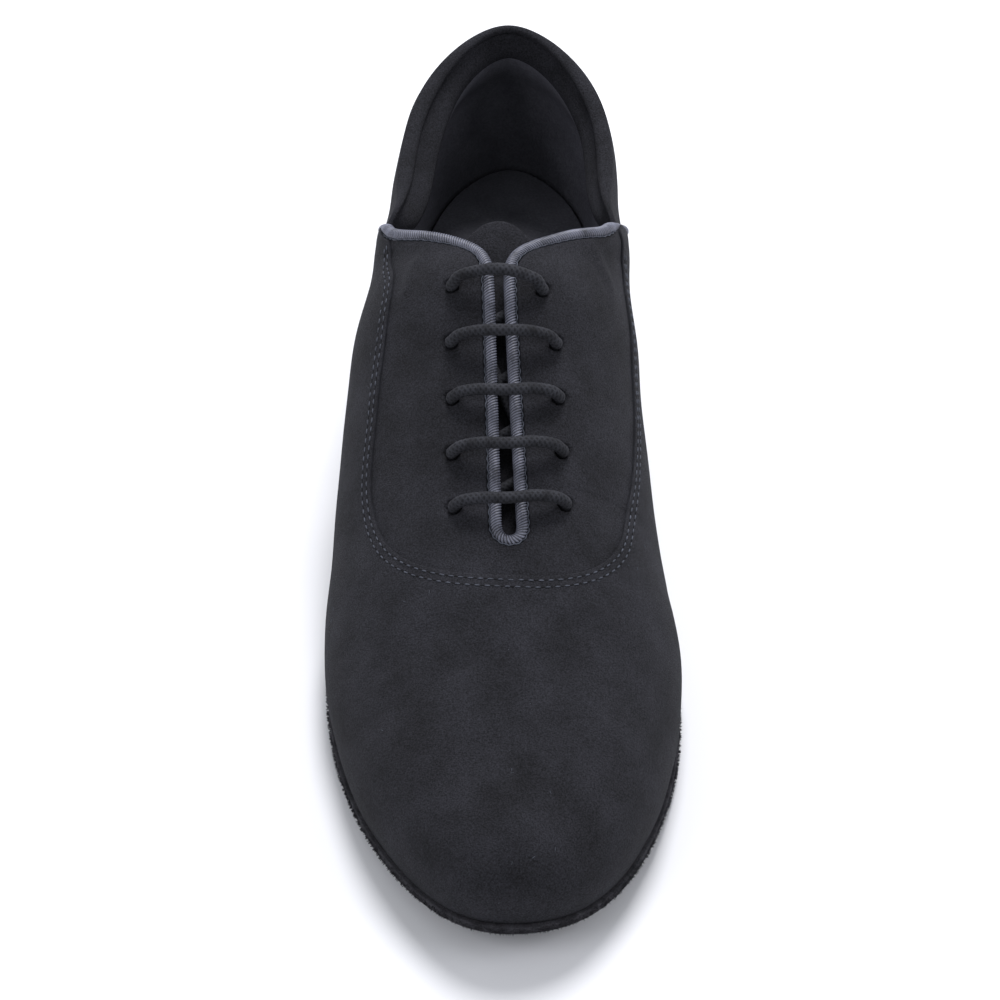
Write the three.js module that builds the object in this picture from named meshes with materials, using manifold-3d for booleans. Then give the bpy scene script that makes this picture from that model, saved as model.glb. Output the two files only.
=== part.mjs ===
// Ballroom dance shoe for the right foot: a low suede lace-up with a corded edge.
// Millimetres. The toe points to -Y, the big-toe side is +X, and the shoe stands on z = 0.
import * as THREE from "three";
import { mergeVertices } from "three/addons/utils/BufferGeometryUtils.js";
import Module from "manifold-3d";

const wasm = await Module();
wasm.setup();

// Driving sizes of the last and the sole
const shoeLength = 288; // feather line, back of the heel to tip of the toe
const ballWidth = 95; // feather line, across the ball
const instepHeight = 66; // the instep's ridge line above the sole, before the heel lifts it
const backHeight = 62; // topline at the back above the heel seat
const heelHeight = 25; // floor to the sole's underside at the back
const toeSpring = 9; // floor to the sole's underside at the tip
const soleThickness = 3;
const soleEdge = 1.2; // how far the sole stands out from the feather line
const heelLength = 68; // breast to back of the heel
const heelInset = 0.4; // heel block behind the feather line at the sole
const heelTaper = 2.2; // how much narrower the heel is at the floor, each side
const topPieceThickness = 6;
const insoleThickness = 3;

// Driving sizes of the upper
const wall = 1.5; // quarter and lining together
const panelStep = 0.7; // front panel laid on the quarter
const vampStep = 0.7; // vamp laid on the front panel
const collarPad = 3.4; // what the foam at the topline adds to the wall
const padOutward = 0.4; // share of the foam that stands out of the wall, the rest goes inward
const padFoot = 0.6; // height on the wall where the foam begins
const padFull = 0.9; // height where it has its whole thickness
const padRim = 0.93; // height from which it rounds off to the topline
const padRounding = 0.6; // share that the rounding takes off at the topline
const seam = 0.3; // gap between pieces that touch
const laceGap = 0.5; // slack between the lace and what it passes
const cordGap = 0.7; // edge cord to the leather that it is whipped to

// Throat, laces and tongue
const cordDiameter = 3.4;
const laceDiameter = 3.3;
const laceHole = 4.8;
const slitHeadWidth = 10.6; // between the leather edges under the top lace
const slitFootWidth = 12.4; // at the round foot of the slit
const slitFlare = 12; // radius of the corners where the slit meets the topline
const flareTurn = 58; // degrees that each corner turns before it runs into the topline
const tongueThickness = 2;
const tongueWidth = 44;
const tongueRise = 15; // how far the tongue runs on past the last closed row of the throat
const tonguePitch = 25.5; // degrees that its free end climbs towards the back
const tongueNarrowing = 0.14; // share of its width that it loses towards its foot
const laceArch = 1.1; // how far each bar rises between its holes

// How finely the forms are faceted
const ribsPerRow = 3;
const cordPitch = 3.6; // mm between the cross-sections of the edge cord
const lacePitch = 3;
const backPitch = 5; // the lace's hidden run
const wallSteps = 11;
const wallCrowding = 1.3; // above 1 the steps of the wall are closer together at the top

// Feather line, a row for each station from the tip to the back.
// along: share of shoeLength from the back. outer, inner: shares of ballWidth, outer side negative.
const featherRows = [
  { along: 0.998, outer: 0.02, inner: 0.02 },
  { along: 0.974, outer: -0.165, inner: 0.225 },
  { along: 0.9, outer: -0.335, inner: 0.382 },
  { along: 0.8, outer: -0.455, inner: 0.475 },
  { along: 0.69, outer: -0.505, inner: 0.495 },
  { along: 0.59, outer: -0.485, inner: 0.44 },
  { along: 0.5, outer: -0.44, inner: 0.378 },
  { along: 0.41, outer: -0.395, inner: 0.33 },
  { along: 0.325, outer: -0.35, inner: 0.31 },
  { along: 0.245, outer: -0.315, inner: 0.31 },
  { along: 0.17, outer: -0.305, inner: 0.318 },
  { along: 0.1, outer: -0.255, inner: 0.285 },
  { along: 0.038, outer: -0.155, inner: 0.19 },
  { along: 0.002, outer: 0.02, inner: 0.02 },
];

// Underside of the sole at equal steps along the shoe: shares of heelHeight and of toeSpring.
// Below 0 it rests on the floor.
const soleStart = -0.1; // along of the first row
const soleStep = 0.1;
const soleRows = [
  { heel: 1.0, toe: 0 },
  { heel: 1.0, toe: 0 },
  { heel: 0.99, toe: 0 },
  { heel: 0.965, toe: 0 },
  { heel: 0.84, toe: 0 },
  { heel: 0.56, toe: 0 },
  { heel: 0.25, toe: 0 },
  { heel: 0.03, toe: 0 },
  { heel: -0.03, toe: -0.05 },
  { heel: 0, toe: 0.06 },
  { heel: 0, toe: 0.42 },
  { heel: 0, toe: 1.0 },
  { heel: 0, toe: 1.75 },
];

// Top edge of the wall at each station.
// along: share of shoeLength. instep, back: height above the sole, shares of instepHeight and backHeight.
// out: share of ballWidth from the ridge line, and below 0 the wall closes on the ridge.
// ridge: share of ballWidth that the ridge line lies towards the inner side.
const topRows = [
  { along: 0.9, instep: 0.47, back: 0, out: -0.3, ridge: 0.02 },
  { along: 0.878, instep: 0.495, back: 0, out: -0.3, ridge: 0.02 },
  { along: 0.82, instep: 0.58, back: 0, out: -0.3, ridge: 0.02 },
  { along: 0.755, instep: 0.665, back: 0, out: -0.3, ridge: 0.02 },
  { along: 0.688, instep: 0.76, back: 0, out: -0.3, ridge: 0.018 },
  { along: 0.62, instep: 0.875, back: 0, out: -0.3, ridge: 0.012 },
  { along: 0.55, instep: 0.97, back: 0, out: -0.3, ridge: 0.005 },
  { along: 0.478, instep: 1.06, back: 0, out: -0.25, ridge: -0.005 },
  { along: 0.41, instep: 1.12, back: 0, out: -0.06, ridge: -0.014 },
  { along: 0.33, instep: 0.94, back: 0, out: 0.275, ridge: -0.008 },
  { along: 0.245, instep: 0, back: 0.8, out: 0.335, ridge: 0 },
  { along: 0.15, instep: 0, back: 0.85, out: 0.315, ridge: 0.012 },
  { along: 0.066, instep: 0, back: 0.95, out: 0.205, ridge: 0.015 },
  { along: 0.02, instep: 0, back: 1.0, out: 0, ridge: 0.015 },
];

// Curve of the wall at each station, in degrees and shares of its chord.
// flare: from upright at the feather line. lean: from upright at the top.
// low, high: fullness of the two ends.
// turn: how far the wall's top swings backward, to stand square to the topline beside the throat.
const wallRows = [
  { flare: 8, low: 0.42, high: 0.5, lean: 90, turn: 0 },
  { flare: 9, low: 0.42, high: 0.47, lean: 90, turn: 0 },
  { flare: 12, low: 0.4, high: 0.44, lean: 90, turn: 0 },
  { flare: 16, low: 0.38, high: 0.42, lean: 90, turn: 0 },
  { flare: 20, low: 0.38, high: 0.4, lean: 90, turn: 0 },
  { flare: 24, low: 0.4, high: 0.41, lean: 90, turn: 0 },
  { flare: 30, low: 0.47, high: 0.42, lean: 90, turn: 0 },
  { flare: 33, low: 0.5, high: 0.42, lean: 90, turn: 0 },
  { flare: 31, low: 0.49, high: 0.42, lean: 88, turn: 8 },
  { flare: 21, low: 0.44, high: 0.38, lean: 50, turn: 16 },
  { flare: 12, low: 0.39, high: 0.34, lean: 24, turn: 8 },
  { flare: 10, low: 0.36, high: 0.35, lean: 16, turn: 0 },
  { flare: 10, low: 0.36, high: 0.35, lean: 14, turn: 0 },
  { flare: 10, low: 0.36, high: 0.35, lean: 14, turn: 0 },
];

// Lace holes from the top pair down.
// row: station. outer, inner: mm from the ridge line, so they follow the throat.
const holeRows = [
  { row: 7.57, outer: 14.0, inner: 12.4 },
  { row: 6.82, outer: 15.0, inner: 15.4 },
  { row: 6.13, outer: 15.2, inner: 15.4 },
  { row: 5.43, outer: 15.6, inner: 15.8 },
  { row: 4.75, outer: 15.4, inner: 16.0 },
];

const throatFoot = 4.18; // station of the slit's lowest leather edge
const throatHead = 7.95; // station where the slit starts to flare
const seamTop = 9.42; // station where the side seam leaves the topline
const seamFoot = 10.2; // station where it meets the sole
const lastRow = featherRows.length - 1;

// Evening out between the throat and the waist, where the wall passes from closed to open
const opening = 0.12; // share of ballWidth over which the two sides part, with a soft start
const fairWeights = [1, 4, 6, 4, 1]; // of a rib and its neighbours
const fairReach = 0.4; // stations from one neighbour to the next
const fairFrom = 6.4; // station where it starts, full from fairFull on
const fairFull = 8;
const fairFading = 9.4; // station from which it fades, ending at fairTo
const fairTo = 11;
const fairUp = 0.6; // height on the wall from which it fades towards the top edge
const fairFoot = 0.25; // height below which it fades towards the feather line
const layers = panelStep + vampStep;

// Cubic spline through values one step apart. A mirror of 1 or -1 carries it evenly or oddly
// past both ends, and without one the values close to a ring.
function spline(values, mirror) {
  const back = values.slice(1, -1).reverse();
  const ring = mirror ? [...values, ...back.map((value) => mirror * value)] : values;
  const count = ring.length;
  const next = (i) => (i + 1) % count;
  const before = (i) => (i + count - 1) % count;
  let bend = ring.map(() => 0);
  for (let round = 0; round < 60; round += 1) {
    bend = ring.map((value, i) => {
      const turn = 6 * (ring[next(i)] - 2 * value + ring[before(i)]);
      return (turn - bend[next(i)] - bend[before(i)]) / 4;
    });
  }
  return (place) => {
    const first = Math.floor(place);
    const right = place - first;
    const left = 1 - right;
    const a = ((first % count) + count) % count;
    const b = next(a);
    const curve = (left ** 3 - left) * bend[a] + (right ** 3 - right) * bend[b];
    return left * ring[a] + right * ring[b] + curve / 6;
  };
}

const column = (rows, name) => rows.map((row) => row[name]);
const aroundLast = (outer, inner) => spline([
  ...column(featherRows, outer),
  ...column(featherRows, inner).slice(1, -1).reverse(),
]);
const featherAlong = aroundLast("along", "along");
const featherAcross = aroundLast("outer", "inner");
const soleHeel = spline(column(soleRows, "heel"), 1);
const soleToe = spline(column(soleRows, "toe"), 1);
const top = {};
for (const rows of [topRows, wallRows]) {
  for (const name of Object.keys(rows[0])) {
    top[name] = spline(column(rows, name), name === "out" ? -1 : 1);
  }
}

const radians = THREE.MathUtils.degToRad;
const smoothstep = THREE.MathUtils.smoothstep;
const lerp = THREE.MathUtils.lerp;

function soleUnder(y) {
  const along = 0.5 - y / shoeLength;
  const place = THREE.MathUtils.clamp((along - soleStart) / soleStep, 0, soleRows.length - 1);
  return Math.max(soleHeel(place) * heelHeight + soleToe(place) * toeSpring, 0);
}

// Place on the feather line with its outward direction. row runs from 0 at the tip to lastRow
// at the back, positive on the outer side and negative on the inner side.
function feather(row) {
  const place = (row + 2 * lastRow) % (2 * lastRow);
  const nudge = 1e-3;
  const acrossTurn = (featherAcross(place + nudge) - featherAcross(place - nudge)) * ballWidth;
  const alongTurn = (featherAlong(place + nudge) - featherAlong(place - nudge)) * shoeLength;
  const turn = Math.hypot(acrossTurn, alongTurn);
  return {
    x: featherAcross(place) * ballWidth,
    y: (0.5 - featherAlong(place)) * shoeLength,
    outX: alongTurn / turn,
    outY: acrossTurn / turn,
  };
}

// Height of the top edge at a station
function topHeight(row) {
  const y = (0.5 - top.along(row)) * shoeLength;
  const above = top.instep(row) * instepHeight + top.back(row) * backHeight;
  return soleUnder(y) + soleThickness + above;
}

// Distance of the top edge from the ridge line: 0 where the wall closes on the ridge
function opened(station) {
  const out = top.out(station);
  if (station > lastRow - 2) return Math.max(out, 0);
  return out < opening ? Math.max(out + opening, 0) ** 2 / (4 * opening) : out;
}

// Rib of the last's outer form with every layer on it. up runs from 0 at the sole to 1 at the
// top edge, on a cubic curve that leaves the feather line at its flare and arrives at its lean.
function rib(row, up) {
  const wrapped = row > lastRow ? row - 2 * lastRow : row < -lastRow ? row + 2 * lastRow : row;
  const station = Math.abs(wrapped);
  const side = wrapped >= 0 ? -1 : 1;
  const foot = feather(wrapped);
  const nudge = 1e-3;
  const run = (top.along(station - nudge) - top.along(station + nudge)) * shoeLength;
  const slope = (topHeight(station + nudge) - topHeight(station - nudge)) / (run + 1e-9);
  const lean = Math.min(radians(top.lean(station)), Math.PI / 2);
  const flare = radians(top.flare(station));
  const closed = THREE.MathUtils.clamp((lean - radians(60)) / radians(30), 0, 1);
  const start = new THREE.Vector3(foot.x, foot.y, soleUnder(foot.y) + soleThickness + seam);
  const end = new THREE.Vector3(
    (top.ridge(station) + side * opened(station)) * ballWidth,
    (0.5 - top.along(station)) * shoeLength,
    topHeight(station) + seam,
  );
  const chord = start.distanceTo(end);
  const spread = Math.sin(flare);
  const leave = new THREE.Vector3(foot.outX * spread, foot.outY * spread, Math.cos(flare));
  const turn = -side * radians(top.turn(station));
  const inX = (foot.outY * Math.sin(turn) - foot.outX * Math.cos(turn)) * Math.sin(lean);
  const inY = -(foot.outX * Math.sin(turn) + foot.outY * Math.cos(turn)) * Math.sin(lean);
  const arrive = new THREE.Vector3(inX, inY, Math.cos(lean) + inY * slope * closed);
  const low = start.clone().addScaledVector(leave, top.low(station) * chord);
  const high = end.clone().addScaledVector(arrive, -top.high(station) * chord);
  return new THREE.CubicBezierCurve3(start, low, high, end).getPoint(up);
}

// Point of the form: the rib there, evened out with its neighbours
function form(row, up) {
  const station = Math.abs(row);
  const along = smoothstep(station, fairFrom, fairFull) * (1 - smoothstep(station, fairFading, fairTo));
  const rise = smoothstep(up, 0, fairFoot) * (1 - smoothstep(up, fairUp, 1));
  const reach = fairReach * along * rise;
  if (reach === 0) return rib(row, up);
  const total = fairWeights.reduce((sum, weight) => sum + weight, 0);
  const point = new THREE.Vector3();
  fairWeights.forEach((weight, i) => {
    point.addScaledVector(rib(row + (i - (fairWeights.length - 1) / 2) * reach, up), weight / total);
  });
  return point;
}

// Unit directions on the form: round the shoe, outward, and past the top edge square to it
function directions(row, up) {
  const nudge = 1e-3;
  const round = form(row + nudge, up).sub(form(row - nudge, up)).normalize();
  const rise = form(row, up + nudge).sub(form(row, up - nudge)).normalize();
  const outward = new THREE.Vector3().crossVectors(rise, round).normalize();
  const past = new THREE.Vector3().crossVectors(round, outward);
  return { round, outward, past };
}

const closedAt = (row) => opened(Math.abs(row)) === 0;

// Point at a depth along the outward direction. Both sides meet on the ridge, and the foot
// stays on the sole.
function skin(row, up, depth) {
  const point = form(row, up);
  const { outward } = directions(row, up);
  if (up === 1 && closedAt(row)) outward.add(directions(-row, up).outward).normalize();
  if (up === 0) outward.setZ(0).normalize();
  return point.addScaledVector(outward, depth);
}

// Station's point at a distance across from the ridge line, the outer side negative, with the
// outward direction there
function across(row, distance) {
  const station = distance > 0 ? -row : row;
  const ridge = form(station, 1).x;
  let low = 0.3;
  let high = 1;
  for (let round = 0; round < 24; round += 1) {
    const middle = (low + high) / 2;
    if (Math.abs(form(station, middle).x - ridge) > Math.abs(distance)) low = middle;
    else high = middle;
  }
  const { outward } = directions(station, Math.min(low, 0.995));
  return { point: form(station, low), outward };
}

// Solids
function solidOf(geometry) {
  geometry.deleteAttribute("normal");
  geometry.deleteAttribute("uv");
  const merged = mergeVertices(geometry, 1e-4);
  const corners = merged.index.array;
  const faces = [];
  for (let i = 0; i < corners.length; i += 3) {
    const [a, b, c] = corners.subarray(i, i + 3);
    if (a !== b && b !== c && c !== a) faces.push(a, b, c);
  }
  return new wasm.Manifold(new wasm.Mesh({
    numProp: 3,
    vertProperties: new Float32Array(merged.attributes.position.array),
    triVerts: new Uint32Array(faces),
  }));
}

function solidOfFaces(points) {
  return solidOf(new THREE.BufferGeometry().setFromPoints(points));
}

function quad(points, a, b, c, d) {
  points.push(a, b, c, a, c, d);
}

// One clean body after joins and cuts: faces thinner than the sliver size are closed up, and
// crumbs thrown away
const sliver = 0.01;
function tidied(solid) {
  return solid.simplify(sliver).decompose().sort((a, b) => b.volume() - a.volume())[0];
}

// Closed wall between two depths, each a function of station and height
function shell(outerDepth, innerDepth) {
  const around = 2 * lastRow * ribsPerRow;
  const station = (place) => (place <= around / 2 ? place : place - around) / ribsPerRow;
  const height = (step) => 1 - (1 - step / wallSteps) ** wallCrowding;
  const grid = (depth) => {
    const ribs = [];
    for (let place = 0; place < around; place += 1) {
      const row = station(place);
      const rises = [...Array(wallSteps + 1).keys()].map(height);
      ribs.push(rises.map((up) => skin(row, up, depth(row, up))));
      const opposite = ribs[around - place];
      if (opposite && closedAt(row)) ribs[place][wallSteps] = opposite[wallSteps];
    }
    return ribs;
  };
  const outer = grid(outerDepth);
  const inner = grid(innerDepth);
  const points = [];
  for (let place = 0; place < around; place += 1) {
    const next = (place + 1) % around;
    const [out, outNext, within, withinNext] = [outer[place], outer[next], inner[place], inner[next]];
    for (let step = 0; step < wallSteps; step += 1) {
      quad(points, out[step], out[step + 1], outNext[step + 1], outNext[step]);
      quad(points, within[step], withinNext[step], withinNext[step + 1], within[step + 1]);
    }
    quad(points, out[0], outNext[0], withinNext[0], within[0]);
    if (!closedAt(station(place)) || !closedAt(station(next))) {
      quad(points, out[wallSteps], within[wallSteps], withinNext[wallSteps], outNext[wallSteps]);
    }
  }
  return solidOfFaces(points);
}

// Flat-sided body on the feather line's plan, with cross-sections from one station to another.
// margin: how far each face stands out from the feather line. under, over: its heights along y.
function slab({ from, to, underMargin, overMargin, under, over }) {
  const sections = [];
  for (let place = from * ribsPerRow; place <= to * ribsPerRow; place += 1) {
    const corner = (row, margin, height) => {
      const foot = feather(row);
      const y = foot.y + foot.outY * margin;
      return new THREE.Vector3(foot.x + foot.outX * margin, y, height(y));
    };
    const row = place / ribsPerRow;
    sections.push([
      corner(row, underMargin, under),
      corner(-row, underMargin, under),
      corner(-row, overMargin, over),
      corner(row, overMargin, over),
    ]);
  }
  const points = [];
  quad(points, ...sections[0]);
  quad(points, ...[...sections.at(-1)].reverse());
  for (let i = 0; i + 1 < sections.length; i += 1) {
    for (let side = 0; side < 4; side += 1) {
      const next = (side + 1) % 4;
      quad(points, sections[i][side], sections[i + 1][side], sections[i + 1][next], sections[i][next]);
    }
  }
  return solidOfFaces(points);
}

// Upright prism over a plan outline of [x, y] pairs
function prism(outline, height) {
  const shape = new THREE.Shape(outline.map(([x, y]) => new THREE.Vector2(x, y)));
  return solidOf(new THREE.ExtrudeGeometry(shape, { depth: height, bevelEnabled: false }));
}

// Round cord or lace along a smooth path
function tube(points, diameter, pitch) {
  const path = new THREE.CatmullRomCurve3(points, false, "centripetal");
  const sides = 6;
  const section = new THREE.Shape(Array.from({ length: sides }, (_, i) => {
    const angle = (2 * Math.PI * i) / sides;
    return new THREE.Vector2(Math.cos(angle), Math.sin(angle)).multiplyScalar(diameter / 2);
  }));
  const steps = Math.round(path.getLength() / pitch);
  return solidOf(new THREE.ExtrudeGeometry(section, { steps, extrudePath: path, bevelEnabled: false }));
}

// Upper
const padding = (row, up) => {
  const back = smoothstep(Math.abs(row), seamTop + 0.2, seamTop + 1);
  const rim = smoothstep(up, padFoot, padFull) * (1 - padRounding * smoothstep(up, padRim, 1));
  return collarPad * back * rim;
};
const quarterOutside = (row, up) => padOutward * padding(row, up) - layers;
const upperInside = (row, up) => (padOutward - 1) * padding(row, up) - layers - wall;

// Side seam between the front panel and the quarter, at a height on the wall
const sideSeam = (up) => lerp(seamFoot, seamTop, up);

// Prism over a side-view outline of [y, z] pairs, from the middle outward on one side
function sidePrism(side, outline) {
  const shape = new THREE.Shape(outline.map(([y, z]) => new THREE.Vector2(y, z)));
  const block = new THREE.ExtrudeGeometry(shape, { depth: ballWidth, bevelEnabled: false });
  const axes = [[0, 1, 0], [0, 0, 1], [1, 0, 0]].map((axis) => new THREE.Vector3(...axis));
  block.applyMatrix4(new THREE.Matrix4().makeBasis(...axes));
  return solidOf(block.translate(side > 0 ? -ballWidth : 0, 0, 0));
}

// Everything in front of the side seam on one side
function frontOfSeam(side) {
  const heights = Array.from({ length: 9 }, (_, i) => i / 8);
  const edge = heights.map((up) => form(side * sideSeam(up), up));
  return sidePrism(side, [
    [-shoeLength, -shoeLength],
    [edge[0].y, -shoeLength],
    ...edge.map((point) => [point.y, point.z]),
    [edge.at(-1).y, shoeLength],
    [-shoeLength, shoeLength],
  ]);
}

// U seam, inside which the facings lie bare of the vamp. Its foot is a rounded arc in plan.
const seamPlan = {
  outer: 0.38, // shares of ballWidth from the middle to each end of the arc
  inner: 0.352,
  foot: 0.7024, // share of shoeLength where the foot crosses the middle
  arms: 0.587, // share of shoeLength where the arms begin
  roundness: 2.35,
  skew: 0.07, // how far the arc leans forward towards the inner side
};
// Its arms run back along the wall to the side seams. row: station. outer, inner: heights.
const armRows = [
  { row: 6, outer: 0.54, inner: 0.45 },
  { row: 7, outer: 0.595, inner: 0.435 },
  { row: 8, outer: 0.645, inner: 0.465 },
  { row: 8.6, outer: 0.7, inner: 0.55 },
  { row: 9.05, outer: 0.87, inner: 0.72 },
  { row: seamTop, outer: 1, inner: 1 },
];
function footOutline() {
  const armsY = (0.5 - seamPlan.arms) * shoeLength;
  const reach = (seamPlan.foot - seamPlan.arms) * shoeLength;
  const power = 2 / seamPlan.roundness;
  const turns = 24;
  const outline = [[ballWidth, shoeLength], [ballWidth, armsY]];
  for (let i = 0; i <= turns; i += 1) {
    const angle = (Math.PI * i) / turns;
    const share = Math.sign(Math.cos(angle)) * Math.abs(Math.cos(angle)) ** power;
    const width = share > 0 ? seamPlan.inner : seamPlan.outer;
    const x = share * width * ballWidth;
    outline.push([x, armsY - reach * Math.sin(angle) ** power - seamPlan.skew * x]);
  }
  return [...outline, [-ballWidth, armsY], [-ballWidth, shoeLength]].reverse();
}

// Everything above the arm on one side, as a prism from the middle outward. In front of the arm
// it reaches down past the sole, and there the foot's plan alone bounds the facings.
function aboveArm(side) {
  const arm = armRows.map((place) => form(side * place.row, side > 0 ? place.outer : place.inner));
  const armsY = (0.5 - seamPlan.arms) * shoeLength;
  const armSlope = (arm[1].z - arm[0].z) / (arm[1].y - arm[0].y);
  return sidePrism(side, [
    [-shoeLength, -shoeLength],
    [armsY, -shoeLength],
    [armsY, arm[0].z - (arm[0].y - armsY) * armSlope],
    ...arm.map((point) => [point.y, point.z]),
    [arm.at(-1).y, shoeLength],
    [-shoeLength, shoeLength],
  ]);
}

// Plan of the slit between the facings: a round foot, nearly parallel edges and flared corners
// at the topline
function slitOutline() {
  const foot = form(throatFoot, 1);
  const head = form(throatHead, 1);
  const footRadius = slitFootWidth / 2;
  const half = [];
  for (let i = 0; i <= 6; i += 1) {
    const angle = (Math.PI / 2) * (i / 6);
    half.push([footRadius * Math.sin(angle), foot.y + footRadius * (1 - Math.cos(angle))]);
  }
  for (let i = 0; i <= 4; i += 1) {
    const angle = radians(flareTurn) * (i / 4);
    const width = slitHeadWidth / 2 + slitFlare * (1 - Math.cos(angle));
    half.push([width, head.y + slitFlare * Math.sin(angle)]);
  }
  half.push([half.at(-1)[0], form(seamTop, 1).y]);
  const share = (y) => THREE.MathUtils.clamp((y - foot.y) / (head.y - foot.y), 0, 1);
  const middle = (y) => lerp(foot.x, head.x, share(y));
  return [
    ...half.map(([x, y]) => [middle(y) + x, y]),
    ...half.slice(1).reverse().map(([x, y]) => [middle(y) - x, y]),
  ];
}

// Punched hole for the lace, square to the wall and a little inside the lace's widest reach
function punch(row, distance) {
  const { point, outward } = across(row, distance - (Math.sign(distance) * laceGap) / 2);
  const drill = new THREE.CylinderGeometry(laceHole / 2, laceHole / 2, 6 * wall, 10);
  drill.applyQuaternion(new THREE.Quaternion().setFromUnitVectors(new THREE.Vector3(0, 1, 0), outward));
  const middle = point.addScaledVector(outward, -layers);
  return solidOf(drill.translate(middle.x, middle.y, middle.z));
}

function makeUpper() {
  const bond = () => -layers - wall / 3;
  const front = frontOfSeam(1).add(frontOfSeam(-1));
  const facings = prism(footOutline(), shoeLength).intersect(aboveArm(1).add(aboveArm(-1)));
  const panel = shell(() => -vampStep, bond).intersect(front);
  const vamp = shell(() => 0, bond).intersect(front).subtract(facings);
  let upper = shell(quarterOutside, upperInside).add(panel).add(vamp);
  upper = upper.subtract(prism(slitOutline(), shoeLength));
  for (const hole of holeRows) {
    upper = upper.subtract(punch(hole.row, -hole.outer)).subtract(punch(hole.row, hole.inner));
  }
  return tidied(upper);
}

// Sole, insole and heel
const soleTop = (y) => soleUnder(y) + soleThickness;
function makeOutsole() {
  const margins = { underMargin: soleEdge, overMargin: soleEdge };
  return slab({ from: 0, to: lastRow, ...margins, under: soleUnder, over: soleTop });
}

function makeInsole() {
  const margin = -layers - wall - 1.5 * seam;
  const bottom = (y) => soleTop(y) + seam;
  const over = (y) => bottom(y) + insoleThickness;
  const margins = { underMargin: margin, overMargin: margin };
  return slab({ from: 0, to: lastRow, ...margins, under: bottom, over });
}

// Heel up to the sole, cut off square at its breast
function heelBody(under, over, underMargin, overMargin) {
  const body = slab({ from: 8, to: lastRow, underMargin, overMargin, under, over });
  const behind = new THREE.BoxGeometry(2 * ballWidth, shoeLength, shoeLength);
  return body.intersect(solidOf(behind.translate(0, shoeLength - heelLength, 0)));
}

function makeHeelBlock() {
  const marginLow = -heelInset - heelTaper;
  return heelBody(() => topPieceThickness + seam, (y) => soleUnder(y) - seam, marginLow, -heelInset);
}

function makeTopPiece() {
  const margin = -heelInset - heelTaper;
  return heelBody(() => 0, () => topPieceThickness, margin, margin);
}

// Tongue under the facings. Its foot is sewn behind the vamp, and it drops clear of the lace
// behind the slit.
const tongueFoot = throatFoot - 0.45;
const laceRoom = laceDiameter + laceGap + cordDiameter / 2;
const tongueBend = 8.05; // station from which it runs on straight, up and back
function makeTongue() {
  const rows = 12;
  const columns = 8;
  const pitch = radians(tonguePitch);
  const rearward = new THREE.Vector3(0, Math.cos(pitch), Math.sin(pitch));
  const length = form(tongueBend, 1).y - form(tongueFoot, 1).y + tongueRise;
  const skins = [[], []];
  for (let i = 0; i <= rows; i += 1) {
    const share = i / rows;
    const run = share * length;
    const straight = Math.max(run - (length - tongueRise), 0);
    const row = lerp(tongueFoot, tongueBend, Math.min(run / (length - tongueRise), 1));
    const tip = THREE.MathUtils.clamp((run - length) / (tongueWidth / 2) + 1, 0, 0.97);
    const narrowed = 1 - tongueNarrowing * (1 - share);
    const half = (tongueWidth / 2) * narrowed * Math.sqrt(1 - tip ** 2);
    const drop = seam + laceRoom * smoothstep(row, tongueFoot + 0.3, throatFoot + 0.5);
    skins.forEach((skinRows, side) => {
      const depth = -layers - wall - drop - side * tongueThickness;
      skinRows.push(Array.from({ length: columns + 1 }, (_, j) => {
        const { point, outward } = across(row, half * ((2 * j) / columns - 1));
        return point.addScaledVector(outward, depth).addScaledVector(rearward, straight);
      }));
    });
  }
  const [over, under] = skins;
  const points = [];
  for (let i = 0; i < rows; i += 1) {
    for (let j = 0; j < columns; j += 1) {
      quad(points, over[i][j], over[i][j + 1], over[i + 1][j + 1], over[i + 1][j]);
      quad(points, under[i][j], under[i + 1][j], under[i + 1][j + 1], under[i][j + 1]);
    }
    quad(points, over[i][0], over[i + 1][0], under[i + 1][0], under[i][0]);
    const next = i + 1;
    quad(points, over[i][columns], under[i][columns], under[next][columns], over[next][columns]);
  }
  for (let j = 0; j < columns; j += 1) {
    quad(points, over[0][j], under[0][j], under[0][j + 1], over[0][j + 1]);
    quad(points, over[rows][j], over[rows][j + 1], under[rows][j + 1], under[rows][j]);
  }
  return solidOfFaces(points);
}

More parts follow.
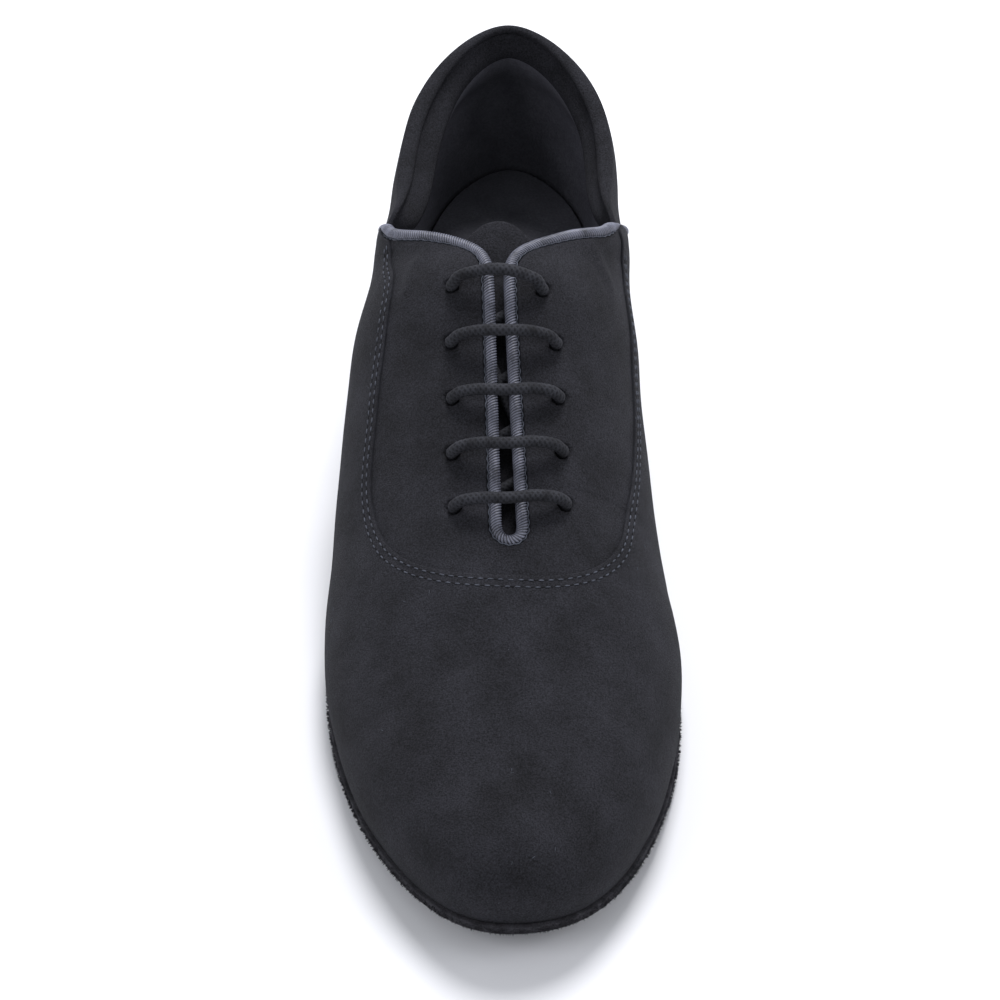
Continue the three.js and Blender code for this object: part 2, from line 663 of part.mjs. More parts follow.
// Corded edge: from the sole up one side seam, along the topline, round the slit and back down
// the other side
const cordClear = cordDiameter / 2 + cordGap;
const cordDepth = -(vampStep + (panelStep + wall) / 2); // middle of the facing's edge
const cordSeamPlaces = [0.04, 0.16, 0.3, 0.45, 0.6, 0.74, 0.86, 0.95]; // heights on the wall
const cordToplineRows = [9.3, 9.15, 9.0, 8.85, 8.7, 8.55, 8.45];
const cordSlitRows = [7.85, 7.4, 6.9, 6.3, 5.7, 5.1, 4.6];
function cordSide(side) {
  const points = [];
  for (const up of cordSeamPlaces) {
    const row = side * sideSeam(up);
    const { round, outward } = directions(row, up);
    const behind = form(row, up).addScaledVector(round, side * (cordClear + 2 * seam));
    points.push(behind.addScaledVector(outward, cordClear + seam - layers));
  }
  const corner = directions(side * seamTop, 1);
  const overEdge = form(side * seamTop, 1).addScaledVector(corner.outward, -vampStep);
  points.push(overEdge.addScaledVector(corner.past, cordClear));
  for (const row of cordToplineRows) {
    const { outward, past } = directions(side * row, 1);
    const rim = form(side * row, 1).addScaledVector(outward, cordDepth);
    points.push(rim.addScaledVector(past, cordClear));
  }
  const head = form(throatHead, 1);
  for (const turn of [0.8 * flareTurn, 0.4 * flareTurn]) {
    const radius = slitFlare + cordClear + seam;
    const reach = slitHeadWidth / 2 + slitFlare - radius * Math.cos(radians(turn));
    const y = head.y + radius * Math.sin(radians(turn));
    points.push(new THREE.Vector3(head.x - side * reach, y, head.z + cordDepth));
  }
  for (const row of cordSlitRows) {
    const width = lerp(slitFootWidth, slitHeadWidth, (row - throatFoot) / (throatHead - throatFoot));
    const { point, outward } = across(row, -side * (width / 2 - cordClear));
    points.push(point.addScaledVector(outward, cordDepth));
  }
  return points;
}

function makeEdgeCord() {
  const foot = form(throatFoot, 1);
  const bottom = new THREE.Vector3(foot.x, foot.y + cordClear, foot.z + cordDepth + seam);
  const path = [...cordSide(1), bottom, ...cordSide(-1).reverse()];
  return tube(path, cordDiameter, cordPitch);
}

// Lace: bars across the throat, each dipping through its holes, joined by slanting runs behind the facings
const laceClear = laceDiameter / 2 + laceGap;
// How far the edge cord stands out of the facing's back
const cordProud = cordDiameter / 2 - (panelStep + wall) / 2;
const laceOver = laceClear - vampStep;
const laceUnder = -layers - wall - cordProud - laceClear;
const laceTurn = (laceOver - laceUnder) / 2;
function laceAt(row, distance, height) {
  const { point, outward } = across(row, distance);
  return point.addScaledVector(outward, height);
}

// Half turn through a hole, from the front of the facing to the back
function dip(row, distance) {
  const side = Math.sign(distance);
  return [50, 20, -20, -50].map((angle) => {
    const inward = laceTurn * (1 - Math.cos(radians(angle)));
    const height = laceOver - laceTurn + laceTurn * Math.sin(radians(angle));
    return laceAt(row, distance - side * inward, height);
  });
}

function bar({ row, outer, inner }) {
  const arch = [-0.75, -0.4, 0, 0.4, 0.75].map((share) => {
    const reach = share < 0 ? outer : inner;
    return laceAt(row, share * reach, laceOver + laceArch * (1 - share ** 2));
  });
  return [...dip(row, -outer).reverse(), ...arch, ...dip(row, inner)];
}

// Points behind the facings, at shares of the way from one place to another
function behind([fromRow, fromDistance], [toRow, toDistance], shares) {
  return shares.map((share) => (
    laceAt(lerp(fromRow, toRow, share), lerp(fromDistance, toDistance, share), laceUnder)));
}

function makeLace() {
  const chain = [];
  holeRows.forEach((hole, i) => {
    chain.push(...bar(hole));
    const next = holeRows[i + 1];
    if (next) {
      const ends = [[hole.row, hole.inner], [next.row, -next.outer]];
      chain.push(...behind(...ends, [0.18, 0.4, 0.6, 0.82]));
    }
  });
  const first = holeRows[0];
  const last = holeRows.at(-1);
  const start = laceAt(last.row, last.inner - laceTurn, laceUnder);
  const tail = laceAt(last.row + 0.12, last.inner - 2 * laceTurn, laceUnder);
  const ends = [[last.row, last.inner], [first.row, -first.outer]];
  const back = [start, tail, ...behind(...ends, [0.25, 0.5, 0.75, 0.88])];
  return tidied(tube(chain, laceDiameter, lacePitch).add(tube(back, laceDiameter, backPitch)));
}

// Scene
const suede = { color: 0x2c2c32, roughness: 0.95, metalness: 0 };
const looks = {
  outsole: { color: 0x3a3735, roughness: 0.97, metalness: 0 },
  heel_block: { color: 0x1b1b1f, roughness: 0.6, metalness: 0 },
  heel_top_piece: { color: 0x3a3735, roughness: 0.97, metalness: 0 },
  insole: { color: 0x17171b, roughness: 0.8, metalness: 0 },
  upper: suede,
  tongue: suede,
  edge_cord: { color: 0x5d5f6b, roughness: 0.75, metalness: 0 },
  lace: { color: 0x44454c, roughness: 0.85, metalness: 0 },
};
const solids = {
  outsole: makeOutsole(),
  heel_block: makeHeelBlock(),
  heel_top_piece: makeTopPiece(),
  insole: makeInsole(),
  upper: makeUpper(),
  tongue: makeTongue(),
  edge_cord: makeEdgeCord(),
  lace: makeLace(),
};

const shoe = new THREE.Group();
for (const [name, solid] of Object.entries(solids)) {
  const { vertProperties, triVerts } = solid.getMesh();
  const geometry = new THREE.BufferGeometry();
  geometry.setAttribute("position", new THREE.BufferAttribute(vertProperties, 3));
  geometry.setIndex(new THREE.BufferAttribute(triVerts, 1));
  geometry.computeVertexNormals();
  const mesh = new THREE.Mesh(geometry, new THREE.MeshStandardMaterial(looks[name]));
  mesh.name = name;
  shoe.add(mesh);
}

// The origin lies on the floor under the middle of the shoe's box
const middle = new THREE.Box3().setFromObject(shoe).getCenter(new THREE.Vector3());
shoe.position.set(-middle.x, -middle.y, 0);

export default shoe;
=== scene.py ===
# Ballroom dance shoe, right foot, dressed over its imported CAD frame. Shapes are worked out in
# millimetres with numpy, toe towards -Y and big-toe side towards +X, and go to Blender in metres.
import bpy
import numpy as np
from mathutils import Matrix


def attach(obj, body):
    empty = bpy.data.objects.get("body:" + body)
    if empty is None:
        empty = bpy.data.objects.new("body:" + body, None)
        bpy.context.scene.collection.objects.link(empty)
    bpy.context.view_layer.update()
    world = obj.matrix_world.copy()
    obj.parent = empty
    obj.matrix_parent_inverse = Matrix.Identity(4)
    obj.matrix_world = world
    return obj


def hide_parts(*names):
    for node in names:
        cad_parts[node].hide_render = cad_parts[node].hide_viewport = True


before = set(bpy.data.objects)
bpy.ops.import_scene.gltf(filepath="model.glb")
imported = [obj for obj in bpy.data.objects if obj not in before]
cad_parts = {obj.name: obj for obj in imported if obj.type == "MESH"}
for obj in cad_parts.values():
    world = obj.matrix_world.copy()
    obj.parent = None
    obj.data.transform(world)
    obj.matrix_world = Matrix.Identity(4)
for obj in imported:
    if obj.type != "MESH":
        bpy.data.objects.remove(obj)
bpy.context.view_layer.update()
print("frame loaded with", len(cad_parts), "nodes")

# Camera, floor and light
view = {
    "aim": (-0.58, -16.64, 38.36),  # mm
    "distance": 800,
    "elevation": 45,  # degrees above the horizon
    "lens": 102.96,
    "floor": "#f1f1f2",
    "world": "#e9edf2",
    "worldStrength": 0.5,
}
# place in metres, size across, power in watts and colour
lights = {
    "key": ((0.1, 0.75, 1.25), 0.5, 20, "#fbfbff"),
    "left fill": ((-1.0, -0.5, 0.9), 0.8, 4.2, "#f6f6ff"),
    "right fill": ((1.1, -0.2, 0.8), 0.8, 4, "#f6f6ff"),
}


def linear(hexText):
    # sRGB hex to linear light: below 0.04045 a straight line, above it a power of 2.4
    values = [int(hexText[i:i + 2], 16) / 255 for i in (1, 3, 5)]
    return [v / 12.92 if v <= 0.04045 else ((v + 0.055) / 1.055) ** 2.4 for v in values] + [1.0]


def addNode(tree, kind, inputs, **settings):
    # one shader node with its settings, and each input a value or another node's output
    node = tree.nodes.new("ShaderNode" + kind)
    for name, value in settings.items():
        setattr(node, name, value)
    for name, value in inputs.items():
        if isinstance(value, bpy.types.NodeSocket):
            tree.links.new(value, node.inputs[name])
        else:
            node.inputs[name].default_value = value
    return node


def addMaterial(name):
    material = bpy.data.materials.new(name)
    material.use_nodes = True
    material.node_tree.nodes.clear()
    return material, material.node_tree


def addObject(name, data):
    made = bpy.data.objects.new(name, data)
    bpy.context.scene.collection.objects.link(made)
    return made


def addCamera():
    tilt = np.radians(view["elevation"])
    back = np.array([0, -np.cos(tilt), np.sin(tilt)])
    data = bpy.data.cameras.new("camera")
    data.lens, data.sensor_width = view["lens"], 36
    data.clip_start, data.clip_end = 0.01, 20
    camera = addObject("camera", data)
    camera.location = (np.array(view["aim"]) + back * view["distance"]) / 1000
    camera.rotation_euler = (np.pi / 2 - tilt, 0, 0)
    bpy.context.scene.camera = camera


def addLight(name, place, size, power, colour):
    data = bpy.data.lights.new(name, "AREA")
    data.shape, data.size, data.energy = "DISK", size, power
    data.color = linear(colour)[:3]
    lamp = addObject(name, data)
    lamp.location = place
    away = np.array(place) - np.array([0, 0, 0.04])  # it faces the middle of the shoe
    lamp.rotation_euler = (np.arctan2(np.hypot(away[0], away[1]), away[2]), 0,
                           np.arctan2(away[0], -away[1]))


def addStudio():
    # seamless paper: matt, pale, without grain
    material, tree = addMaterial("backdrop paper")
    paper = addNode(tree, "BsdfPrincipled", {"Base Color": linear(view["floor"]), "Roughness": 0.9})
    addNode(tree, "OutputMaterial", {"Surface": paper.outputs[0]})
    mesh = bpy.data.meshes.new("floor")
    mesh.from_pydata([(-4, -4, 0), (4, -4, 0), (4, 4, 0), (-4, 4, 0)], [], [(0, 1, 2, 3)])
    mesh.materials.append(material)
    floor = addObject("floor", mesh)
    world = bpy.data.worlds.new("studio")
    world.use_nodes = True
    world.node_tree.nodes.clear()
    sky = addNode(world.node_tree, "Background", {"Color": linear(view["world"]),
                                                  "Strength": view["worldStrength"]})
    addNode(world.node_tree, "OutputWorld", {"Surface": sky.outputs[0]})
    bpy.context.scene.world = world
    for name, light in lights.items():
        addLight(name, *light)
    bpy.context.scene.view_settings.view_transform = "Standard"


addCamera()
addStudio()
print("camera, floor and light made")

# The last: the form that the whole shoe is made over
shift = np.array([0.537, 0, 0])  # the part's origin lies under the middle of its box
last = {
    "shoeLength": 288, "ballWidth": 95, "instepHeight": 66, "backHeight": 62,
    "heelHeight": 25, "toeSpring": 9, "soleThickness": 3, "seam": 0.3,
    # feather line from the tip to the back, shares of the length from the back and of the width
    "along": [0.998, 0.974, 0.9, 0.8, 0.69, 0.59, 0.5, 0.41, 0.325, 0.245, 0.17, 0.1, 0.038, 0.002],
    "outer": [0.02, -0.165, -0.335, -0.455, -0.505, -0.485, -0.44, -0.395, -0.35, -0.315, -0.305,
              -0.255, -0.155, 0.02],
    "inner": [0.02, 0.225, 0.382, 0.475, 0.495, 0.44, 0.378, 0.33, 0.31, 0.31, 0.318, 0.285, 0.19,
              0.02],
    # underside of the sole at steps of a tenth of the length, from a tenth behind the back
    "heel": [1, 1, 0.99, 0.965, 0.84, 0.56, 0.25, 0.03, -0.03, 0, 0, 0, 0],
    "toe": [0, 0, 0, 0, 0, 0, 0, 0, -0.05, 0.06, 0.42, 1, 1.75],
}
# Ribs from the feather line to the top edge at each station: where they end, how high, and
# how they leave and arrive, in shares of the sizes above and in degrees
rib = {
    "along": [0.9, 0.878, 0.82, 0.755, 0.688, 0.62, 0.55, 0.478, 0.41, 0.33, 0.245, 0.15, 0.066,
              0.02],
    "instep": [0.47, 0.495, 0.58, 0.665, 0.76, 0.875, 0.97, 1.06, 1.12, 0.94, 0, 0, 0, 0],
    "back": [0, 0, 0, 0, 0, 0, 0, 0, 0, 0, 0.8, 0.85, 0.95, 1],
    "out": [-0.3, -0.3, -0.3, -0.3, -0.3, -0.3, -0.3, -0.25, -0.06, 0.275, 0.335, 0.315, 0.205, 0],
    "ridge": [0.02, 0.02, 0.02, 0.02, 0.018, 0.012, 0.005, -0.005, -0.014, -0.008, 0, 0.012,
              0.015, 0.015],
    "flare": [8, 9, 12, 16, 20, 24, 30, 33, 31, 21, 12, 10, 10, 10],
    "low": [0.42, 0.42, 0.4, 0.38, 0.38, 0.4, 0.47, 0.5, 0.49, 0.44, 0.39, 0.36, 0.36, 0.36],
    "high": [0.5, 0.47, 0.44, 0.42, 0.4, 0.41, 0.42, 0.42, 0.42, 0.38, 0.34, 0.35, 0.35, 0.35],
    "lean": [90, 90, 90, 90, 90, 90, 90, 90, 88, 50, 24, 16, 14, 14],
    "turn": [0, 0, 0, 0, 0, 0, 0, 0, 8, 16, 8, 0, 0, 0],
}
lastRow = len(rib["along"]) - 1
opening = 0.12  # share of ballWidth over which the two sides part on the ridge
evening = {"reach": 0.4, "from": 6.4, "full": 8, "fading": 9.4, "to": 11, "foot": 0.25, "up": 0.6}
nudge = 1e-3  # step over which a slope or direction is taken
nearTop = 0.995  # highest place on a rib where its direction is taken
same = 1e-6  # rows or places closer than this are one


def ringSpline(values):
    # cubic spline round a closed ring of values one step apart: straight lines between them
    # plus cubes weighted by the bends, which halve their way to a smooth ring
    ring = np.array(values, float)
    bend = np.zeros(len(ring))
    lift = 6 * (np.roll(ring, -1) - 2 * ring + np.roll(ring, 1))
    for _ in range(60):
        bend = (lift - np.roll(bend, -1) - np.roll(bend, 1)) / 4

    def at(place):
        first = np.floor(place).astype(int)
        right = place - first
        left = 1 - right
        a, b = first % len(ring), (first + 1) % len(ring)
        curve = (left**3 - left) * bend[a] + (right**3 - right) * bend[b]
        return left * ring[a] + right * ring[b] + curve / 6

    return at


def openSpline(values, mirror=1):
    return ringSpline(list(values) + [mirror * v for v in values[-2:0:-1]])


featherAlong = ringSpline(last["along"] + last["along"][-2:0:-1])
featherAcross = ringSpline(last["outer"] + last["inner"][-2:0:-1])
soleHeel, soleToe = openSpline(last["heel"]), openSpline(last["toe"])
ribAt = {name: openSpline(rib[name], -1 if name == "out" else 1) for name in rib}


def smooth(low, high, x):
    # 0 below low, 1 above high, and 3t squared less 2t cubed between
    t = np.clip((x - low) / (high - low), 0, 1)
    return t * t * (3 - 2 * t)


def unit(vectors):
    return vectors / np.maximum(np.linalg.norm(vectors, axis=-1, keepdims=True), 1e-12)


def squareTo(along, vectors):
    return unit(vectors - (vectors * along).sum(-1, keepdims=True) * along)


def soleUnder(y):
    place = (0.5 - y / last["shoeLength"] + 0.1) / 0.1
    place = np.clip(place, 0, len(last["heel"]) - 1)
    return np.maximum(soleHeel(place) * last["heelHeight"] + soleToe(place) * last["toeSpring"], 0)


def feather(row):
    # x, y and outward direction on the feather line; rows above 0 are the outer side
    place = np.mod(row, 2 * lastRow)
    turnX = (featherAcross(place + nudge) - featherAcross(place - nudge)) * last["ballWidth"]
    turnY = (featherAlong(place + nudge) - featherAlong(place - nudge)) * last["shoeLength"]
    size = np.hypot(turnX, turnY)
    y = (0.5 - featherAlong(place)) * last["shoeLength"]
    return featherAcross(place) * last["ballWidth"], y, turnY / size, turnX / size


def topHeight(row):
    y = (0.5 - ribAt["along"](row)) * last["shoeLength"]
    above = ribAt["instep"](row) * last["instepHeight"] + ribAt["back"](row) * last["backHeight"]
    return soleUnder(y) + last["soleThickness"] + above


def opened(station):
    # distance of the top edge from the ridge: a parabola that starts at -opening, then straight
    out = ribAt["out"](station)
    soft = np.where(out < opening, np.maximum(out + opening, 0) ** 2 / (4 * opening), out)
    return np.where(station > lastRow - 2, np.maximum(out, 0), soft)


def oneRib(row, up):
    # cubic curve: start + leave + arrive + end, each weighted by powers of up and 1 - up
    wrapped = np.where(row > lastRow, row - 2 * lastRow, row)
    wrapped = np.where(row < -lastRow, row + 2 * lastRow, wrapped)
    station, side = np.abs(wrapped), np.where(wrapped >= 0, -1.0, 1.0)
    footX, footY, outX, outY = feather(wrapped)
    before, after = ribAt["along"](station - nudge), ribAt["along"](station + nudge)
    run = (before - after) * last["shoeLength"]
    slope = (topHeight(station + nudge) - topHeight(station - nudge)) / (run + 1e-9)
    lean = np.minimum(np.radians(ribAt["lean"](station)), np.pi / 2)
    flare = np.radians(ribAt["flare"](station))
    closed = np.clip((lean - np.radians(60)) / np.radians(30), 0, 1)
    footZ = soleUnder(footY) + last["soleThickness"] + last["seam"]
    start = np.stack([footX, footY, footZ], -1)
    endX = (ribAt["ridge"](station) + side * opened(station)) * last["ballWidth"]
    endY = (0.5 - ribAt["along"](station)) * last["shoeLength"]
    end = np.stack([endX, endY, topHeight(station) + last["seam"]], -1)
    chord = np.linalg.norm(end - start, axis=-1)[..., None]
    leave = np.stack([outX * np.sin(flare), outY * np.sin(flare), np.cos(flare)], -1)
    turn = -side * np.radians(ribAt["turn"](station))
    inX = (outY * np.sin(turn) - outX * np.cos(turn)) * np.sin(lean)
    inY = -(outX * np.sin(turn) + outY * np.cos(turn)) * np.sin(lean)
    arrive = np.stack([inX, inY, np.cos(lean) + inY * slope * closed], -1)
    low = start + leave * ribAt["low"](station)[..., None] * chord
    high = end - arrive * ribAt["high"](station)[..., None] * chord
    t = up[..., None]
    return ((1 - t) ** 3 * start + 3 * (1 - t) ** 2 * t * low + 3 * (1 - t) * t**2 * high
            + t**3 * end)


def form(row, up):
    # a rib evened out with two neighbours on each side, weighted 1 4 6 4 1
    row, up = np.broadcast_arrays(np.asarray(row, float), np.asarray(up, float))
    station = np.abs(row)
    along = smooth(evening["from"], evening["full"], station)
    along = along * (1 - smooth(evening["fading"], evening["to"], station))
    reach = evening["reach"] * along * smooth(0, evening["foot"], up)
    reach = reach * (1 - smooth(evening["up"], 1, up))
    return sum(oneRib(row + (i - 2) * reach, up) * w / 16 for i, w in enumerate((1, 4, 6, 4, 1)))


def directions(row, up):
    # round the shoe, outward and up along the rib, from differences of the form
    around = unit(form(row + nudge, up) - form(row - nudge, up))
    rise = unit(form(row, up + nudge) - form(row, up - nudge))
    return around, unit(np.cross(rise, around)), rise


def outwardAt(row, up):
    return directions(row, np.minimum(up, nearTop))[1]


def halved(past, low, high, rounds=26):
    # the span from low to high is halved round the place where past turns true
    for _ in range(rounds):
        middle = (low + high) / 2
        reached = past(middle)
        low, high = np.where(reached, low, middle), np.where(reached, middle, high)
    return low, high


def across(row, distance):
    # point of the form at a distance from the ridge line, the outer side negative
    row, distance = np.broadcast_arrays(np.asarray(row, float), np.asarray(distance, float))
    station = np.where(distance > 0, -row, row)
    ridge = form(station, 1.0)[..., 0]

    def within(up):
        return np.abs(form(station, up)[..., 0] - ridge) <= np.abs(distance)

    up = halved(within, np.full_like(station, 0.3), np.ones_like(station))[0]
    return form(station, up), outwardAt(station, up)


# Meshes
def gridFaces(index, wrapRows=False, wrapColumns=False):
    # four corners of every cell of a grid of point numbers
    if wrapRows:
        index = np.concatenate([index, index[:1]], 0)
    if wrapColumns:
        index = np.concatenate([index, index[:, :1]], 1)
    a, b, c, d = index[:-1, :-1], index[:-1, 1:], index[1:, 1:], index[1:, :-1]
    return np.stack([a, b, c, d], -1).reshape(-1, 4)


def numbered(grid):
    # the number of each point of a grid
    return np.arange(grid[..., 0].size).reshape(grid.shape[:-1])


def weld(points, faces, marks):
    # joins points closer than a ten-thousandth of a millimetre, and drops faces without area
    _, first, joint = np.unique(np.round(points, 4), axis=0, return_index=True,
                                return_inverse=True)
    faces = joint.reshape(-1)[faces]
    kept = np.sum(faces != np.roll(faces, -1, axis=1), axis=1) >= 3
    return points[first], faces[kept], marks[kept]


def joined(parts):
    # several meshes as one: each one's point numbers move on by the points before it
    starts = np.cumsum([0] + [len(points) for points, _ in parts])
    return (np.concatenate([points for points, _ in parts]),
            np.concatenate([faces + start for (_, faces), start in zip(parts, starts)]))


def closedTube(grid, ends):
    # quads round a row of rings, and a fan of triangles from each end's middle
    index = numbered(grid)
    around = np.roll(index, -1, axis=1)
    fans = []
    for end, a, b in ((index.size, around[0], index[0]), (index.size + 1, index[-1], around[-1])):
        middle = np.full(len(a), end)
        fans.append(np.stack([middle, a, b, middle], -1))
    faces = np.concatenate([gridFaces(index, wrapColumns=True)] + fans)
    return np.concatenate([grid.reshape(-1, 3), ends]), faces


def outwardFaces(points, faces):
    # turned round if the enclosed volume comes out negative
    a, b, c, d = (points[faces[:, i]] for i in range(4))
    volume = np.sum(a * np.cross(b, c)) + np.sum(a * np.cross(c, d))
    return faces if volume > 0 else faces[:, ::-1]


def addPiece(name, points, faces, materials, marks=None, uvs=None, replaces=(), slot=None,
             strandShades=None):
    # a mesh from arrays: a repeated corner makes a triangle, and unused points are left out
    marks = np.zeros(len(faces), int) if marks is None else np.asarray(marks)
    keep = faces != np.roll(faces, -1, axis=1)
    counts = keep.sum(1)
    used, loops = np.unique(faces[keep], return_inverse=True)
    mesh = bpy.data.meshes.new(name)
    mesh.vertices.add(len(used))
    mesh.vertices.foreach_set("co", ((points[used] + shift) / 1000).astype(np.float32).ravel())
    mesh.loops.add(len(loops))
    mesh.loops.foreach_set("vertex_index", loops.astype(np.int32).ravel())
    mesh.polygons.add(len(faces))
    starts = np.concatenate([[0], np.cumsum(counts)[:-1]]).astype(np.int32)
    mesh.polygons.foreach_set("loop_start", starts)
    mesh.polygons.foreach_set("material_index", marks.astype(np.int32))
    mesh.polygons.foreach_set("use_smooth", np.ones(len(faces), bool))
    mesh.update(calc_edges=True)
    mesh.validate()
    if uvs is not None:
        layer = mesh.uv_layers.new(name="along")
        layer.data.foreach_set("uv", uvs[faces[keep]].astype(np.float32).ravel())
    # strand shading painted into the colour: 0 in the shaded valleys, 1 on the lit backs
    if strandShades is not None:
        layer = mesh.attributes.new("strandShade", "FLOAT", "POINT")
        layer.data.foreach_set("value", strandShades[used].astype(np.float32))
    for material in materials:
        mesh.materials.append(material)
    piece = addObject(name, mesh)
    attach(piece, "root")
    if replaces:
        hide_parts(*replaces)
    print(name, len(used), "points", len(faces), "faces")


def flowing(places, values, at):
    # cubic curve through values at uneven places, with slopes between the neighbouring chords
    places, values = np.asarray(places, float), np.asarray(values, float)
    flat = values.reshape(len(places), -1)
    step = np.diff(places)[:, None]
    chord = np.diff(flat, axis=0) / step
    inner = (chord[:-1] * step[1:] + chord[1:] * step[:-1]) / (step[1:] + step[:-1])
    slope = np.concatenate([chord[:1], inner, chord[-1:]])
    i = np.clip(np.searchsorted(places, at) - 1, 0, len(step) - 1)
    t = ((at - places[i])[:, None]) / step[i]
    h = step[i]
    out = ((1 + 2 * t) * (1 - t) ** 2 * flat[i] + t * (1 - t) ** 2 * h * slope[i]
           + t**2 * (3 - 2 * t) * flat[i + 1] + t**2 * (t - 1) * h * slope[i + 1])
    return out.reshape((len(at),) + values.shape[1:])


def runAlong(points, power=1):
    # running sum of the chords, each to a power
    chords = np.linalg.norm(np.diff(points, axis=0), axis=1)
    return np.concatenate([[0], np.cumsum(chords**power)])


def evenly(points, step, extra=None):
    # the same path with points a step apart, and anything carried with it
    run = runAlong(points)
    at = np.linspace(0, run[-1], max(int(round(run[-1] / step)), 2) + 1)
    every = points if extra is None else np.concatenate([points, extra], 1)
    out = np.stack([np.interp(at, run, column) for column in every.T], 1)
    return at, out[:, :3], out[:, 3:]


def throughPoints(points, step, extra=None):
    # smooth path: places are the running sums of the square roots of the chords
    places = runAlong(points, 0.5)
    every = points if extra is None else np.concatenate([points, extra], 1)
    dense = flowing(places, every, np.linspace(0, places[-1], 40 * len(points)))
    return evenly(dense[:, :3], step, dense[:, 3:] if extra is not None else None)


def softTangents(path, rounds):
    # directions along a path, each averaged with its neighbours
    tangent = unit(np.gradient(path, axis=0))
    for _ in range(rounds):
        tangent[1:-1] = unit(tangent[:-2] + 2 * tangent[1:-1] + tangent[2:])
    return tangent


def tube(path, reference, radius, sides):
    # circles square to the path: centre + radius (cos around sideways + sin around reference);
    # radius is a function of the angles and the distance run
    run = runAlong(path)
    tangent = unit(np.gradient(path, axis=0))
    sideways = unit(np.cross(tangent, reference))
    above = np.cross(sideways, tangent)
    angle = np.linspace(0, 2 * np.pi, sides, endpoint=False)
    size = radius(angle[None, :], run[:, None])[..., None]
    ring = (np.cos(angle)[None, :, None] * sideways[:, None]
            + np.sin(angle)[None, :, None] * above[:, None])
    points, faces = closedTube(path[:, None] + size * ring, path[[0, -1]])
    uvs = np.stack([np.tile(angle / (2 * np.pi), len(path)), np.repeat(run / 100, sides)], -1)
    return points, faces[:, ::-1], np.concatenate([uvs, np.zeros((2, 2))])


def beads(centres, along, normal, length, width, height, rings=5, sides=6):
    # one rounded grain for each centre: a sphere's angles stretched by the three sizes
    lat = np.linspace(0, np.pi, rings + 2)
    lon = np.linspace(0, 2 * np.pi, sides, endpoint=False)
    lift = np.sin(lat)[:, None]
    base = np.stack([np.cos(lat)[:, None] * length / 2 + 0 * lon[None],
                     lift * np.cos(lon)[None] * width / 2,
                     lift * np.sin(lon)[None] * height / 2], -1)
    sideways = np.cross(normal, along)
    axes = np.stack([along, sideways, normal], 1)
    points = centres[:, None] + base.reshape(-1, 3) @ axes
    index = numbered(base)
    faces = gridFaces(index, wrapColumns=True)
    faces = (faces[None] + index.size * np.arange(len(centres))[:, None, None]).reshape(-1, 4)
    return points.reshape(-1, 3), faces


rng = np.random.default_rng(7)  # seeded, so each run is the same


# Materials
def addCloth(name, dark, light, patch, fleck, bump, roughness, sheen, cloud=1,
             contrast=(0.12, 0.41), stretch=(1, 1, 1), specular=0.3, strandShading=None):
    # two noises mix two colours, a fine one lifts the surface, and sheen lights grazing fibres.
    # patch and fleck are sizes in mm: on object coordinates, in metres, 1000 / size repeats them
    material, tree = addMaterial(name)

    def times(first, second):
        return addNode(tree, "Math", {0: first, 1: second}, operation="MULTIPLY").outputs[0]

    def noise(size, detail, coarseness):
        return addNode(tree, "TexNoise", {"Vector": where.outputs[0], "Scale": 1000 / size,
                                          "Detail": detail, "Roughness": coarseness}).outputs[0]

    place = addNode(tree, "TexCoord", {})
    where = addNode(tree, "Mapping", {"Vector": place.outputs["Object"], "Scale": stretch})
    patches, flecks = noise(patch, 5, 0.6), noise(fleck, 3, 0.7)
    # cloud is the patches' share of the contrast, around a middle value
    patched = addNode(tree, "MapRange", {"Value": patches, "To Min": 0.5 - cloud / 2,
                                         "To Max": 0.5 + cloud / 2})
    both = times(patched.outputs[0], flecks)
    share = addNode(tree, "MapRange", {"Value": both, "From Min": contrast[0],
                                       "From Max": contrast[1]}).outputs[0]
    if strandShading:
        # painted shade and highlight: the piece's strand shading, 1 on the back of a strand and 0
        # in the valley beside it, darkens the colour in the valleys and, scaled up, lightens it on
        # the backs
        strandShade = addNode(tree, "Attribute", {}, attribute_name="strandShade")
        share = times(times(share, strandShade.outputs["Fac"]), strandShading)
    colour = addNode(tree, "Mix", {0: share, 6: linear(dark), 7: linear(light)}, data_type="RGBA")
    # fibres stand up by about three quarters of their width
    lifted = addNode(tree, "Bump", {"Height": flecks, "Strength": bump, "Distance": fleck / 1300})
    cloth = addNode(tree, "BsdfPrincipled", {
        "Base Color": colour.outputs[2], "Roughness": roughness, "Normal": lifted.outputs[0],
        "Sheen Weight": sheen, "Sheen Roughness": 0.6, "Sheen Tint": linear(light),
        "Specular IOR Level": specular})
    addNode(tree, "OutputMaterial", {"Surface": cloth.outputs[0]})
    return material


# napped calf suede: matt black-blue, clouded where the nap lies the other way
suede = addCloth("napped calf suede", "#0b0b0e", "#303036", patch=14, fleck=0.45, bump=1.0,
                 roughness=0.95, sheen=0.15, cloud=0.45, contrast=(0.17, 0.35))
# the same suede seen on its cut edge, fibres open and a little paler
suedeEdge = addCloth("cut suede edge", "#101013", "#2a2b31", patch=3, fleck=0.3, bump=0.8,
                     roughness=1.0, sheen=0.15)
# soft lining leather, plain dark grey, nearly black where no light reaches it
lining = addCloth("lining leather", "#45454c", "#626269", patch=14, fleck=0.8, bump=0.25,
                  roughness=0.7, sheen=0.05)
# rayon whipcord: slate threads, with a painted highlight on the back of each turn and painted shade
# in the valleys between the turns
whipcord = addCloth("rayon whipcord", "#0c0c10", "#777987", patch=6, fleck=0.2, bump=0.2,
                    roughness=0.5, sheen=0.1, specular=0.45, strandShading=2.2)
